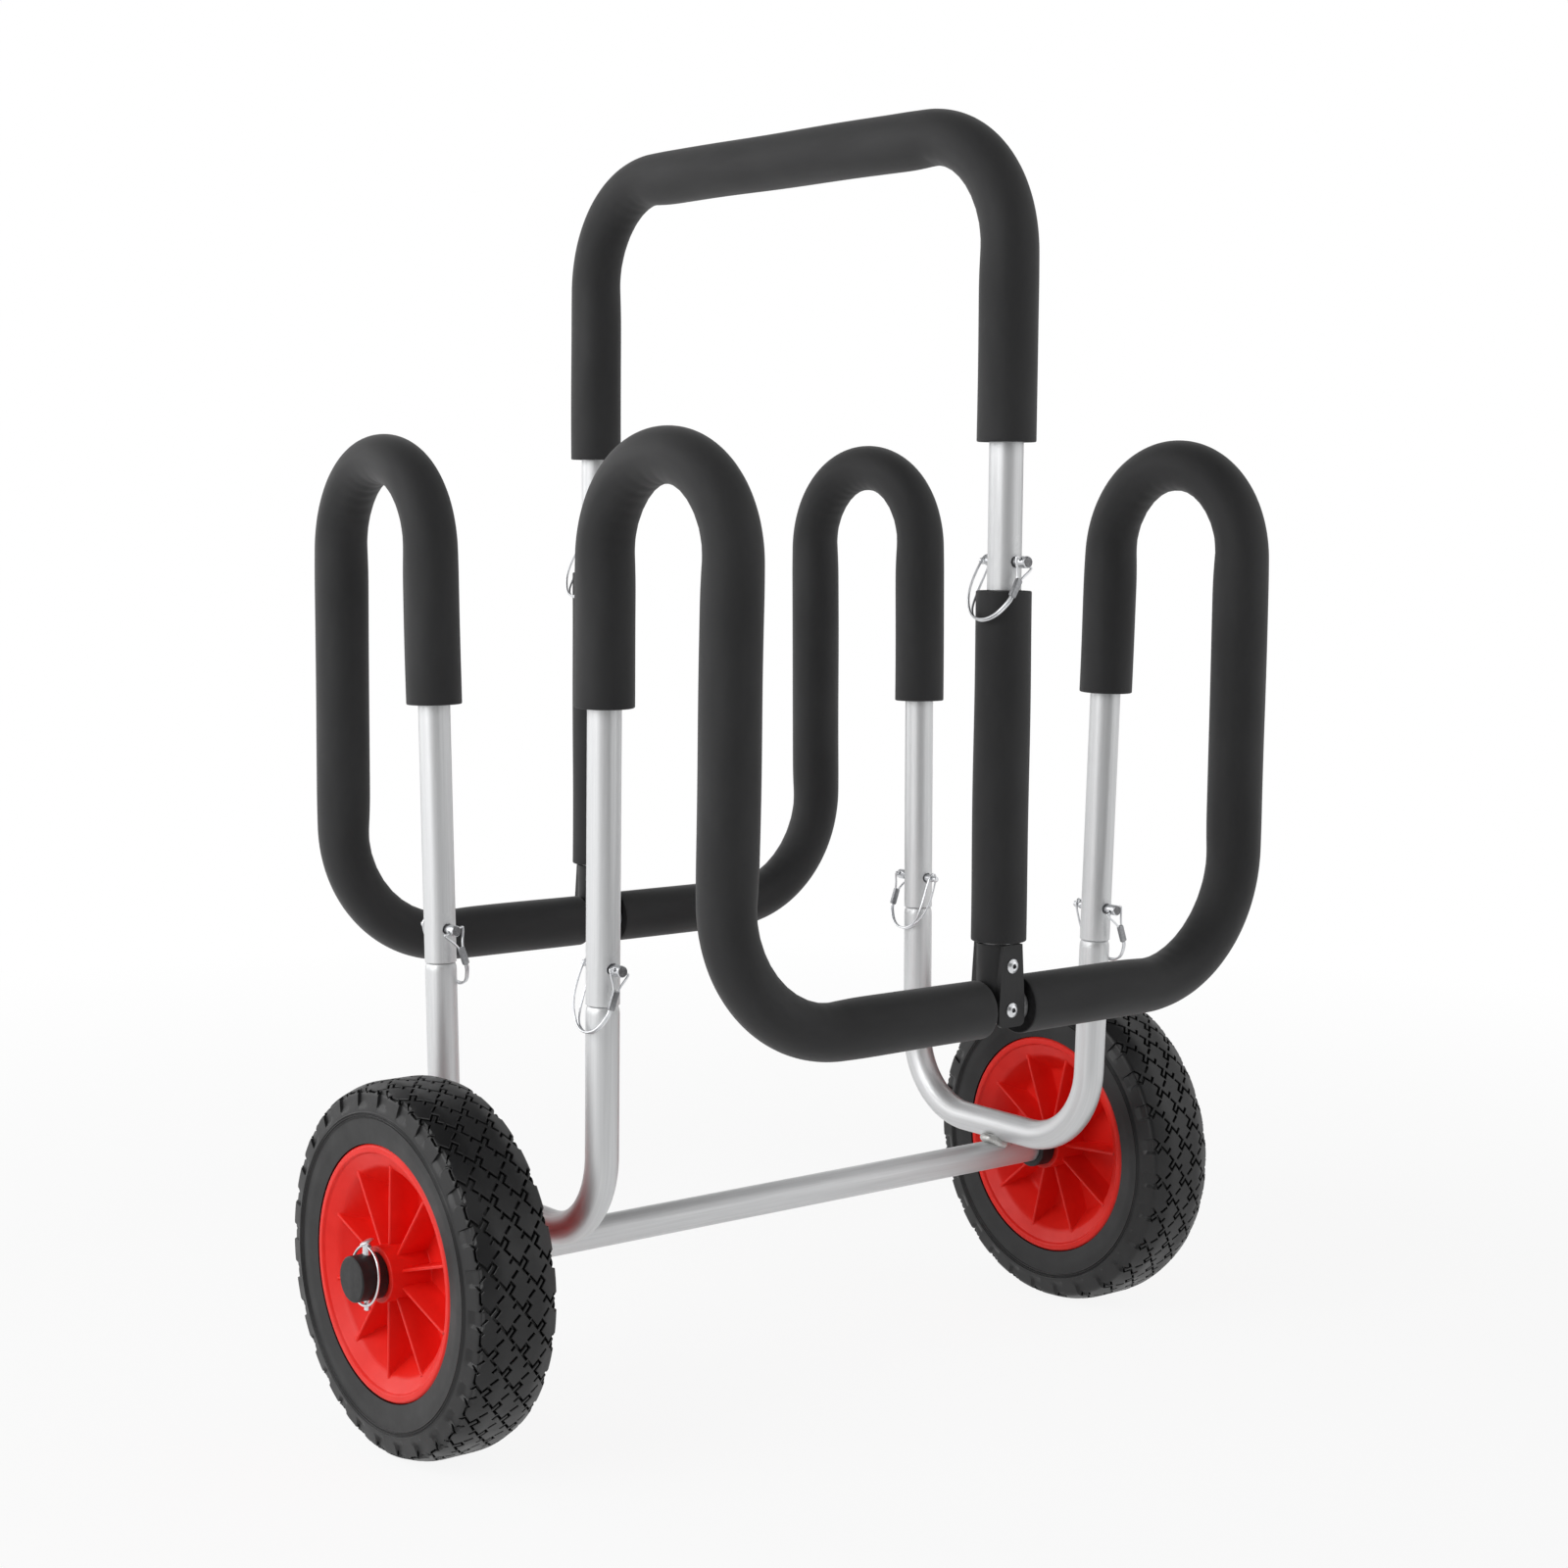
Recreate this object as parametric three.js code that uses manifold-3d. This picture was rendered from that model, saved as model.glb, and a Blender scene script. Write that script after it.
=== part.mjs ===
// Two-wheeled kayak cart: a silver tube frame on one axle, two foam-sleeved racks and a tall middle handle.
// Millimetres, +Z up. X runs along the axle and -Y is the front. The origin is on the ground, in the middle.

import * as THREE from 'three';
import { mergeVertices } from 'three/addons/utils/BufferGeometryUtils.js';
import Module from 'manifold-3d';

const wasm = await Module();
wasm.setup();

// Clearances and cutter overrun
const seat_gap = 0.3;
const running_gap = 0.5;
const slip_gap = 1.6;
const cut_overrun = 4;

// Wheels
const wheel_diameter = 250;
const wheel_track = 600;
const tyre_width = 60;
const rim_diameter = 170;
const rim_width = 58.6;
const flange_thickness = 3.3;
const lip_width = 6;
const seat_depth = 7.5;
const seat_floor_depth = 14.5;
const seat_floor_width = 24;
const web_thickness = 5;
const bowl_floor_diameter = 116;
const hub_diameter = 37.5;
const hub_length = 64;
const rib_count = 10;
const rib_thickness = 2.4;
const rib_hub_height = 24;
const rib_rim_height = 24;
const rib_rim_diameter = 144;
const rib_root_height = 8;
const rib_root_diameter = 133;

// The way that the first rib of each rim points, from +Y towards +Z
const first_rib_angle = {
  left: THREE.MathUtils.degToRad(19.8),
  right: THREE.MathUtils.degToRad(31.9),
};

// Share of half the tyre's width, and share of the way from the rim's edge to the tread
const tyre_outline_shares = [
  [0.97, 0.012], [1, 0.26], [0.985, 0.53], [0.91, 0.84], [0.37, 1],
];

// Share of the way from the web to the rim's face, and share from the bowl's floor to the lip
const bowl_outline_shares = [[0, 0], [0.8, 0.57], [1, 1]];

// Tubes and foam
const tube_diameter = 22.2;
const tube_wall = 1.5;
const foam_diameter = 38.6;
const post_foam_diameter = 36.4;
const neck_length = 62;
const neck_root = 6;
const bend_step = Math.PI / 8;

// Frame on the axle: each arm and the upright above it lie on one slightly splayed line. An inset is measured
// from the middle of the wheel inwards.
const arm_foot_inset = 79;
const arm_foot_y = 96;
const arm_head_inset = 74;
const arm_head_y = 107.5;
const arm_bend_radius = 61;
const rack_joint_rise = 182;
const rack_pin_rise = 24.5;
const weld_length = 27;
const weld_height = 11;

// Racks. A rise is measured from the axle up, unless its name says another start.
const hump_rise = 532;
const hump_radius = 63.9;
const leg_head_inset = 77.5;
const leg_foot_inset = 75.5;
const crossbar_y = 232;
const crossbar_rise = 176;
const crossbar_corner_radius = 88.5;
const crossbar_foam_gap = 34;
const sleeve_end_rise = { front_left: 374, rear_left: 363, front_right: 367, rear_right: 348 };

// Handle frame
const bracket_diameter = 28.2;
const bracket_rise = 43;
const bracket_floor = 2.6;
const ear_width = 22.6;
const ear_top_width = 17;
const upper_rivet_drop = 14;
const post_foam_gap = 1.5;
const handle_joint_rise = 449;
const handle_pin_rise = 18.5;
const handle_top_rise = 743;
const handle_bend_radius = 79;
const grip_front_rise = 95;
const grip_rear_rise = 87;

// Rivets
const rivet_shank_diameter = 4.8;
const rivet_head_diameter = 9.6;
const rivet_head_height = 2;
const rivet_tail_diameter = 7;
const rivet_tail_height = 3;
const rivet_pit_diameter = 2.6;

// Axle ends
const cap_diameter = 30.5;
const cap_length = 19.3;
const cap_end_wall = 2.5;
const cap_bevel = 0.8;
const collar_diameter = 31;
const collar_length = 13;
const wheel_pin_inset = 12;
const wheel_pin_lift = 1;
const wheel_pin_length = 47;

// Lock pins, their wire bails and the wire rings of the wheel pins
const pin_diameter = 6;
const pin_hole_diameter = 7;
const pin_length = 44.8;
const pin_head_diameter = 7.8;
const pin_head_length = 8;
const pin_tip_diameter = 4.4;
const pin_tip_length = 6;
const wire_diameter = 1.4;
const wire_hole_diameter = 3.4;
const bail_depth = 43;
const bail_tilt_on_tube = THREE.MathUtils.degToRad(19.5);
const bail_tilt_on_foam = THREE.MathUtils.degToRad(30);
const bail_base_half_width = 8;
const strand_spacing = 2.4;
const crimp_start = 12.5;
const crimp_length = 13;
const crimp_width = 4.8;
const crimp_thickness = 3;
const snap_loop_reach = 4;
const ring_wire_diameter = 1.8;
const ring_radius = 19.5;
const ring_width_share = 0.92;

// Share of half the pin's length, and share of the bail's depth, from the crimp round to the tip
const bail_outline_shares = [
  [-0.93, 0.34], [-0.92, 0.66], [-0.58, 0.92], [-0.02, 1], [0.5, 0.88],
  [0.79, 0.54], [0.78, 0],
];

// Numbers of sides
const tube_sides = 10;
const bore_sides = 6;
const wheel_sides = 24;
const turned_sides = 14;
const pin_sides = 8;
const wire_sides = 4;
const ring_steps = 20;
const bend_merge_distance = 2;

// Sizes worked out from the ones above
const tube_radius = tube_diameter / 2;
const tube_bore_radius = tube_radius - tube_wall;
const sleeve_bore_radius = tube_radius + seat_gap;
const foam_radius = foam_diameter / 2;
const wheel_radius = wheel_diameter / 2;
const axle_height = wheel_radius;
const frame_foot_height = axle_height + tube_diameter + seat_gap;
const rack_joint_height = axle_height + rack_joint_rise;
const hump_height = axle_height + hump_rise;
const crossbar_height = axle_height + crossbar_rise;
const handle_joint_height = axle_height + handle_joint_rise;
const handle_top_height = axle_height + handle_top_rise;
const arm_foot_x = wheel_track / 2 - arm_foot_inset;
const arm_head_x = wheel_track / 2 - arm_head_inset;
const leg_head_x = wheel_track / 2 - leg_head_inset;
const leg_foot_x = wheel_track / 2 - leg_foot_inset;
const hub_outer_x = wheel_track / 2 + hub_length / 2;
const hub_inner_x = wheel_track / 2 - hub_length / 2;
const cap_inner_x = hub_outer_x + running_gap;
const cap_outer_x = cap_inner_x + cap_length;
const axle_end_x = cap_outer_x - cap_end_wall - seat_gap;
const wheel_pin_x = cap_outer_x - wheel_pin_inset;
const wheel_pin_height = axle_height + wheel_pin_lift;
const leg_head_y = arm_head_y + 2 * hump_radius;
const post_foot_height = crossbar_height + sleeve_bore_radius + bracket_floor + seat_gap;
const bracket_top_height = crossbar_height + bracket_rise;
const upper_rivet_height = bracket_top_height - upper_rivet_drop;
const post_foam_foot_height = bracket_top_height + post_foam_gap;

const X_AXIS = new THREE.Vector3(1, 0, 0);
const Y_AXIS = new THREE.Vector3(0, 1, 0);
const Z_AXIS = new THREE.Vector3(0, 0, 1);

const finishes = {
  aluminium: { color: 0xc4c6c8, roughness: 0.4, metalness: 0.9 },
  weld: { color: 0xb4b6b8, roughness: 0.5, metalness: 0.9 },
  foam: { color: 0x262627, roughness: 0.85, metalness: 0 },
  plastic: { color: 0x1c1c1d, roughness: 0.5, metalness: 0 },
  rubber: { color: 0x202021, roughness: 0.8, metalness: 0 },
  red_plastic: { color: 0xe0201a, roughness: 0.3, metalness: 0 },
  zinc: { color: 0xd0d2d4, roughness: 0.25, metalness: 1 },
};

const cart = new THREE.Group();

function add(name, geometry, finish) {
  const mesh = new THREE.Mesh(geometry, new THREE.MeshStandardMaterial(finishes[finish]));
  mesh.name = name;
  cart.add(mesh);
}

// Solids for joining and cutting

function positionsOnly(geometry) {
  const bare = geometry.clone();
  bare.deleteAttribute('normal');
  bare.deleteAttribute('uv');
  return mergeVertices(bare);
}

function solid(geometry) {
  const merged = positionsOnly(geometry);
  return new wasm.Manifold(new wasm.Mesh({
    numProp: 3,
    vertProperties: new Float32Array(merged.attributes.position.array),
    triVerts: new Uint32Array(merged.index.array),
  }));
}

function geometryOf(body) {
  const mesh = body.getMesh();
  const geometry = new THREE.BufferGeometry();
  geometry.setAttribute('position', new THREE.BufferAttribute(mesh.vertProperties, 3));
  geometry.setIndex(new THREE.BufferAttribute(mesh.triVerts, 1));
  geometry.computeVertexNormals();
  return geometry;
}

function cut(geometry, cutters) {
  return geometryOf(cutters.reduce((body, cutter) => body.subtract(solid(cutter)), solid(geometry)));
}

function join(geometries) {
  const bodies = geometries.map(solid);
  return geometryOf(bodies.reduce((body, other) => body.add(other)));
}

// Plain shapes

function ringPoints(radius, sides) {
  const turn = Math.PI / sides;
  return Array.from({ length: sides }, (_, i) => {
    const angle = turn + (2 * Math.PI * i) / sides;
    return new THREE.Vector2(radius * Math.cos(angle), radius * Math.sin(angle));
  });
}

function section(outer_radius, outer_sides, inner_radius = 0, inner_sides = outer_sides) {
  const shape = new THREE.Shape(ringPoints(outer_radius, outer_sides));
  if (inner_radius > 0) {
    shape.holes.push(new THREE.Path(ringPoints(inner_radius, inner_sides)));
  }
  return shape;
}

// A solid of revolution about X. The outline is a list of [place along X, radius].
function turned(outline, sides) {
  const points = outline.map(([along, radius]) => new THREE.Vector2(radius, along));
  const geometry = new THREE.LatheGeometry(points, sides);
  geometry.rotateZ(-Math.PI / 2);
  return facingOut(geometry);
}

// A rod about the given axis, through the given middle
function rod(axis, middle, radius, length, sides) {
  const geometry = new THREE.CylinderGeometry(radius, radius, length, sides);
  geometry.applyQuaternion(new THREE.Quaternion().setFromUnitVectors(Y_AXIS, axis));
  geometry.translate(middle.x, middle.y, middle.z);
  return geometry;
}

function volumeOf(geometry) {
  const flat = geometry.index ? geometry.toNonIndexed() : geometry;
  const place = flat.attributes.position;
  const corners = [new THREE.Vector3(), new THREE.Vector3(), new THREE.Vector3()];
  let sum = 0;
  for (let i = 0; i < place.count; i += corners.length) {
    corners.forEach((corner, k) => corner.fromBufferAttribute(place, i + k));
    sum += corners[0].dot(corners[1].clone().cross(corners[2])) / 6;
  }
  return sum;
}

function facingOut(geometry) {
  const bare = positionsOnly(geometry);
  if (volumeOf(bare) < 0) {
    bare.setIndex(Array.from(bare.index.array).reverse());
  }
  bare.computeVertexNormals();
  return bare;
}

// A line with round bends, as stations that each have a place, a direction and two cross directions.
// Straights have a station at each end only, and bends have one every bend step.
class Route extends THREE.Curve {
  constructor(stations) {
    super();
    this.stations = stations;
  }

  static bent(corners, radii, seed_index, seed_normal) {
    const stations = [{ point: corners[0], tangent: direction(corners[0], corners[1]) }];
    radii.forEach((radius, i) => {
      addBend(stations, corners[i], corners[i + 1], corners[i + 2], radius);
    });
    const last = corners.length - 1;
    stations.push({ point: corners[last], tangent: direction(corners[last - 1], corners[last]) });
    carryFrames(stations, seed_index ?? 0, seed_normal);
    return new Route(stations);
  }

  get length() {
    return this.lengths().at(-1);
  }

  lengths() {
    let sum = 0;
    return this.stations.map((station, i) => {
      sum += i > 0 ? station.point.distanceTo(this.stations[i - 1].point) : 0;
      return sum;
    });
  }

  // The stretch between two lengths measured from the start
  stretch(from, to) {
    const lengths = this.lengths();
    const inside = this.stations.filter((_, i) => lengths[i] > from && lengths[i] < to);
    return new Route([this.stationAt(from), ...inside, this.stationAt(to)]);
  }

  stationAt(length) {
    const lengths = this.lengths();
    const next = Math.min(lengths.findIndex((value) => value >= length), lengths.length - 1);
    const after = this.stations[Math.max(next, 1)];
    const before = this.stations[Math.max(next, 1) - 1];
    const start = lengths[Math.max(next, 1) - 1];
    const share = (length - start) / after.point.distanceTo(before.point);
    return { ...after, point: before.point.clone().lerp(after.point, share) };
  }

  getSpacedPoints() {
    return this.stations.map((station) => station.point);
  }

  computeFrenetFrames() {
    return {
      tangents: this.stations.map((station) => station.tangent),
      normals: this.stations.map((station) => station.normal),
      binormals: this.stations.map((station) => station.binormal),
    };
  }
}

function direction(from, to) {
  return to.clone().sub(from).normalize();
}

// Stations of an arc of the given radius that rounds the corner b between a and c
function addBend(stations, a, b, c, radius) {
  const inward = direction(a, b);
  const outward = direction(b, c);
  const bend = inward.angleTo(outward);
  const axis = inward.clone().cross(outward).normalize();
  const start = b.clone().addScaledVector(inward, -radius * Math.tan(bend / 2));
  const centre = start.clone().addScaledVector(axis.clone().cross(inward), radius);
  const steps = Math.max(1, Math.round(bend / bend_step));
  for (let i = 0; i <= steps; i += 1) {
    const angle = (bend * i) / steps;
    const point = start.clone().sub(centre).applyAxisAngle(axis, angle).add(centre);
    const tangent = inward.clone().applyAxisAngle(axis, angle);
    if (point.distanceTo(stations.at(-1).point) > bend_merge_distance) {
      stations.push({ point, tangent });
    }
  }
}

// Carries one cross direction along the route from the seed station, with no twist
function carryFrames(stations, seed_index, seed_normal) {
  const seed = stations[seed_index];
  const start = (seed_normal ?? X_AXIS).clone();
  seed.normal = start.addScaledVector(seed.tangent, -start.dot(seed.tangent)).normalize();
  for (let i = seed_index + 1; i < stations.length; i += 1) {
    stations[i].normal = carried(stations[i - 1], stations[i]);
  }
  for (let i = seed_index - 1; i >= 0; i -= 1) {
    stations[i].normal = carried(stations[i + 1], stations[i]);
  }
  stations.forEach((station) => {
    station.binormal = station.tangent.clone().cross(station.normal);
  });
}

function carried(from, to) {
  const turn = new THREE.Quaternion().setFromUnitVectors(from.tangent, to.tangent);
  return from.normal.clone().applyQuaternion(turn);
}

function sweep(route, shape) {
  const geometry = new THREE.ExtrudeGeometry(shape, {
    steps: route.stations.length - 1,
    extrudePath: route,
  });
  return facingOut(geometry);
}

const tubeSection = () => section(tube_radius, tube_sides, tube_bore_radius, bore_sides);

const foamSection = (radius) => section(radius, tube_sides, sleeve_bore_radius, tube_sides);

function straight(from, to) {
  return Route.bent([from, to], [], 0, X_AXIS);
}

// A reduced end that plugs into the next tube: its root is fixed in the tube's own bore
function neck(place, heading) {
  const neck_radius = tube_bore_radius - slip_gap;
  const bore_radius = neck_radius - tube_wall;
  const root_radius = (tube_radius + tube_bore_radius) / 2;
  const outline = [
    [-neck_root, bore_radius], [-neck_root, root_radius], [0, root_radius], [0, neck_radius],
    [neck_length, neck_radius], [neck_length, bore_radius], [-neck_root, bore_radius],
  ];
  const geometry = turned(outline, tube_sides);
  geometry.applyQuaternion(new THREE.Quaternion().setFromUnitVectors(X_AXIS, heading));
  geometry.translate(place.x, place.y, place.z);
  return geometry;
}

// Places on the line of an arm and its upright, side and end being -1 or 1
function armPlace(side, end, height) {
  const share = (height - frame_foot_height) / (hump_height - frame_foot_height);
  const x = arm_foot_x + (arm_head_x - arm_foot_x) * share;
  const y = arm_foot_y + (arm_head_y - arm_foot_y) * share;
  return new THREE.Vector3(side * x, end * y, height);
}

// A place on the middle line of the front or rear post
function postPlace(end, height) {
  return new THREE.Vector3(0, end * crossbar_y, height);
}

const rack_pin_height = rack_joint_height + rack_pin_rise;
const handle_pin_height = handle_joint_height + handle_pin_rise;

function rackPinHole(side, end) {
  const place = armPlace(side, end, rack_pin_height);
  return rod(Y_AXIS, place, pin_hole_diameter / 2, tube_diameter + 2 * cut_overrun, pin_sides);
}

function handlePinHole(end) {
  const place = postPlace(end, handle_pin_height);
  return rod(Y_AXIS, place, pin_hole_diameter / 2, tube_diameter + 2 * cut_overrun, pin_sides);
}

function rivetHole(end, height, length) {
  const place = postPlace(end, height);
  return rod(Y_AXIS, place, rivet_shank_diameter / 2 + seat_gap, length, pin_sides);
}

// Frame

function axleTube() {
  const outline = [
    [-axle_end_x, tube_bore_radius], [-axle_end_x, tube_radius],
    [axle_end_x, tube_radius], [axle_end_x, tube_bore_radius], [-axle_end_x, tube_bore_radius],
  ];
  const holes = [-1, 1].map((side) => rod(
    Z_AXIS, new THREE.Vector3(side * wheel_pin_x, 0, 0),
    pin_hole_diameter / 2, tube_diameter + 2 * cut_overrun, pin_sides,
  ));
  const geometry = cut(turned(outline, turned_sides), holes);
  geometry.translate(0, 0, axle_height);
  return geometry;
}

function frameU(side) {
  const corners = [
    armPlace(side, -1, rack_joint_height), armPlace(side, -1, frame_foot_height),
    armPlace(side, 1, frame_foot_height), armPlace(side, 1, rack_joint_height),
  ];
  const route = Route.bent(corners, [arm_bend_radius, arm_bend_radius], 0, X_AXIS);
  const tube = sweep(route, tubeSection());
  const necks = [-1, 1].map((end) => neck(
    armPlace(side, end, rack_joint_height),
    direction(armPlace(side, end, frame_foot_height), armPlace(side, end, rack_joint_height)),
  ));
  return cut(join([tube, ...necks]), [rackPinHole(side, -1), rackPinHole(side, 1)]);
}

// A bead all round the place where the U-frame crosses the axle, a gap away from both tubes
function weldBead(side) {
  const middle = new THREE.Vector3(side * arm_foot_x, 0, axle_height + tube_radius + seat_gap / 2);
  const bead = new THREE.SphereGeometry(1, turned_sides, pin_sides);
  bead.scale(weld_length / 2, weld_length / 2, weld_height / 2);
  bead.translate(middle.x, middle.y, middle.z);
  const reach = weld_length + 2 * cut_overrun;
  const below = new THREE.Vector3(middle.x, 0, axle_height);
  const above = new THREE.Vector3(middle.x, 0, frame_foot_height);
  return cut(facingOut(bead), [
    rod(X_AXIS, below, sleeve_bore_radius, reach, turned_sides),
    rod(Y_AXIS, above, sleeve_bore_radius, reach, turned_sides),
  ]);
}

// Racks

function rackRoute(end) {
  const foot = rack_joint_height + seat_gap;
  const half = (side) => [
    armPlace(side, end, foot),
    armPlace(side, end, hump_height),
    new THREE.Vector3(side * leg_head_x, end * leg_head_y, hump_height),
    new THREE.Vector3(side * leg_foot_x, end * crossbar_y, crossbar_height),
  ];
  const corners = [...half(-1), ...half(1).reverse()];
  const radii = [hump_radius, hump_radius, crossbar_corner_radius];
  const route = Route.bent(corners, [...radii, ...radii.reverse()], 0, X_AXIS);
  const middle = route.stations.length / 2;
  carryFrames(route.stations, middle, Z_AXIS);
  return route;
}

function rackTube(end) {
  const holes = [rackPinHole(-1, end), rackPinHole(1, end)];
  holes.push(rivetHole(end, crossbar_height, tube_diameter + 2 * cut_overrun));
  return cut(sweep(rackRoute(end), tubeSection()), holes);
}

function rackFoam(side, end, sleeve_end) {
  const route = rackRoute(end);
  const rise = direction(armPlace(side, end, rack_joint_height), armPlace(side, end, hump_height)).z;
  const bare = (sleeve_end - rack_joint_height - seat_gap) / rise;
  const middle = route.length / 2;
  const gap = crossbar_foam_gap / 2;
  const stretch = side < 0
    ? route.stretch(bare, middle - gap)
    : route.stretch(middle + gap, route.length - bare);
  return sweep(stretch, foamSection(foam_radius));
}

// Handle frame

function earOutline() {
  const half = ear_width / 2;
  const shape = new THREE.Shape();
  shape.moveTo(ear_top_width / 2, bracket_rise);
  shape.lineTo(half, 0);
  shape.absarc(0, 0, half, 0, -Math.PI, true);
  shape.lineTo(-ear_top_width / 2, bracket_rise);
  return shape;
}

function bracketBody() {
  const thickness = { depth: bracket_diameter, bevelEnabled: false, curveSegments: pin_sides };
  const ears = new THREE.ExtrudeGeometry(earOutline(), thickness);
  ears.rotateX(Math.PI / 2);
  ears.translate(0, bracket_diameter / 2, 0);
  const middle = new THREE.Vector3(0, 0, bracket_rise / 2);
  return join([ears, rod(Z_AXIS, middle, bracket_diameter / 2, bracket_rise, turned_sides)]);
}

function bracket(end) {
  const floor = post_foot_height - crossbar_height - seat_gap;
  const bore = straight(new THREE.Vector3(0, 0, floor), new THREE.Vector3(0, 0, bracket_rise + cut_overrun));
  const slot = new THREE.BoxGeometry(
    ear_width + 2 * cut_overrun, 2 * sleeve_bore_radius, ear_width + cut_overrun,
  );
  slot.translate(0, 0, -(ear_width + cut_overrun) / 2);
  const across = bracket_diameter + 2 * cut_overrun;
  const geometry = cut(bracketBody(), [
    slot,
    rod(X_AXIS, new THREE.Vector3(), sleeve_bore_radius, across, turned_sides),
    sweep(bore, section(sleeve_bore_radius, tube_sides)),
  ]);
  geometry.translate(0, end * crossbar_y, crossbar_height);
  return cut(geometry, [
    rivetHole(end, crossbar_height, across),
    rivetHole(end, upper_rivet_height, across),
  ]);
}

// A blind rivet along Y, with its pitted head towards the front
function rivet(end, height) {
  const face = bracket_diameter / 2 + seat_gap;
  const shank = rivet_shank_diameter / 2;
  const head = rivet_head_diameter / 2;
  const pit = rivet_pit_diameter / 2;
  const outline = [
    [-face - rivet_tail_height, 0], [-face - rivet_tail_height, shank],
    [-face, rivet_tail_diameter / 2], [-face, shank], [face, shank], [face, head],
    [face + rivet_head_height, head / 2], [face + rivet_head_height, pit],
    [face + rivet_head_height / 2, 0],
  ];
  const geometry = turned(outline, pin_sides);
  geometry.rotateZ(-Math.PI / 2);
  geometry.translate(0, end * crossbar_y, height);
  return geometry;
}

function postTube(end) {
  const foot = postPlace(end, post_foot_height);
  const top = postPlace(end, handle_joint_height - seat_gap);
  const tube = sweep(straight(foot, top), tubeSection());
  const hole_length = tube_diameter + 2 * cut_overrun;
  const holes = [handlePinHole(end), rivetHole(end, upper_rivet_height, hole_length)];
  return cut(join([tube, neck(top, Z_AXIS)]), holes);
}

function postFoam(end) {
  const foot = postPlace(end, post_foam_foot_height);
  const top = postPlace(end, handle_joint_height - seat_gap);
  return sweep(straight(foot, top), foamSection(post_foam_diameter / 2));
}

function handleRoute() {
  const corners = [
    postPlace(-1, handle_joint_height), postPlace(-1, handle_top_height),
    postPlace(1, handle_top_height), postPlace(1, handle_joint_height),
  ];
  return Route.bent(corners, [handle_bend_radius, handle_bend_radius], 0, X_AXIS);
}

function handleTube() {
  return cut(sweep(handleRoute(), tubeSection()), [handlePinHole(-1), handlePinHole(1)]);
}

function handleFoam() {
  const route = handleRoute();
  const stretch = route.stretch(grip_front_rise, route.length - grip_rear_rise);
  return sweep(stretch, foamSection(foam_radius));
}

// Wheels, built about their own middle

const rim_radius = rim_diameter / 2;
const rim_half = rim_width / 2;
const seat_edge_x = rim_half - flange_thickness;
const seat_radius = rim_radius - seat_depth;
const seat_floor_radius = rim_radius - seat_floor_depth;
const seat_floor_x = seat_floor_width / 2;

// Turns a wheel so that it stands on a flat side
const flat_turn = Math.PI / wheel_sides;

// The outline's half on the +X side, then the same mirrored, closed on itself
function mirroredOutline(half) {
  const other = half.map(([along, radius]) => [-along, radius]).reverse();
  return [...half, ...other, half[0]];
}

function tyre() {
  const half_width = tyre_width / 2;
  const corner_radius = wheel_radius / Math.cos(Math.PI / wheel_sides);
  const outside = tyre_outline_shares.map(([across, up]) => [
    half_width * across, rim_radius + (corner_radius - rim_radius) * up,
  ]);
  const bead_x = seat_edge_x - seat_gap;
  const inside = [
    [seat_floor_x, seat_floor_radius + seat_gap], [bead_x, seat_radius + seat_gap],
    [bead_x, rim_radius + seat_gap],
  ];
  return turned(mirroredOutline([...inside, ...outside]), wheel_sides).rotateX(flat_turn);
}

function rimBody() {
  const web = web_thickness / 2;
  const floor = bowl_floor_diameter / 2;
  const lip = rim_radius - lip_width;
  const bowl = bowl_outline_shares.map(([along, up]) => [
    web + (rim_half - web) * along, floor + (lip - floor) * up,
  ]);
  const bore_radius = tube_radius + running_gap;
  return turned(mirroredOutline([
    [hub_length / 2, bore_radius], [hub_length / 2, hub_diameter / 2], [web, hub_diameter / 2],
    ...bowl,
    [rim_half, rim_radius], [seat_edge_x, rim_radius], [seat_edge_x, seat_radius],
    [seat_floor_x, seat_floor_radius],
  ]), wheel_sides).rotateX(flat_turn);
}

// One rib stands on both sides of the web. Its outline is drawn in X and radius, then laid out to its angle.
function rib(angle) {
  const root = hub_diameter / 2 - web_thickness / 2;
  const side = [
    [root, rib_hub_height], [rib_rim_diameter / 2, rib_rim_height], [rib_root_diameter / 2, rib_root_height],
  ];
  const other = side.map(([radius, along]) => [radius, -along]).reverse();
  const corners = [...side, ...other].map(([radius, along]) => new THREE.Vector2(along, radius));
  const shape = new THREE.Shape(corners);
  const geometry = new THREE.ExtrudeGeometry(shape, { depth: rib_thickness, bevelEnabled: false });
  geometry.translate(0, 0, -rib_thickness / 2);
  geometry.rotateX(angle);
  return facingOut(geometry);
}

function rim(first_angle) {
  const step = (2 * Math.PI) / rib_count;
  const ribs = Array.from({ length: rib_count }, (_, index) => rib(first_angle + index * step));
  return join([rimBody(), ...ribs]);
}

function wheelPart(side, geometry) {
  geometry.translate(side * wheel_track / 2, 0, axle_height);
  return geometry;
}

// Axle ends

function axleCap(side) {
  const bore = sleeve_bore_radius;
  const outside = cap_diameter / 2;
  const outline = [
    [cap_inner_x, bore], [cap_inner_x, outside], [cap_outer_x - cap_bevel, outside],
    [cap_outer_x, outside - cap_bevel], [cap_outer_x, 0], [axle_end_x + seat_gap, 0],
    [axle_end_x + seat_gap, bore], [cap_inner_x, bore],
  ];
  const middle = new THREE.Vector3(wheel_pin_x, 0, 0);
  const hole = rod(Z_AXIS, middle, pin_hole_diameter / 2, cap_diameter + 2 * cut_overrun, pin_sides);
  const geometry = cut(turned(outline, turned_sides), [hole]);
  geometry.rotateZ(side > 0 ? 0 : Math.PI);
  geometry.translate(0, 0, axle_height);
  return geometry;
}

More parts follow.
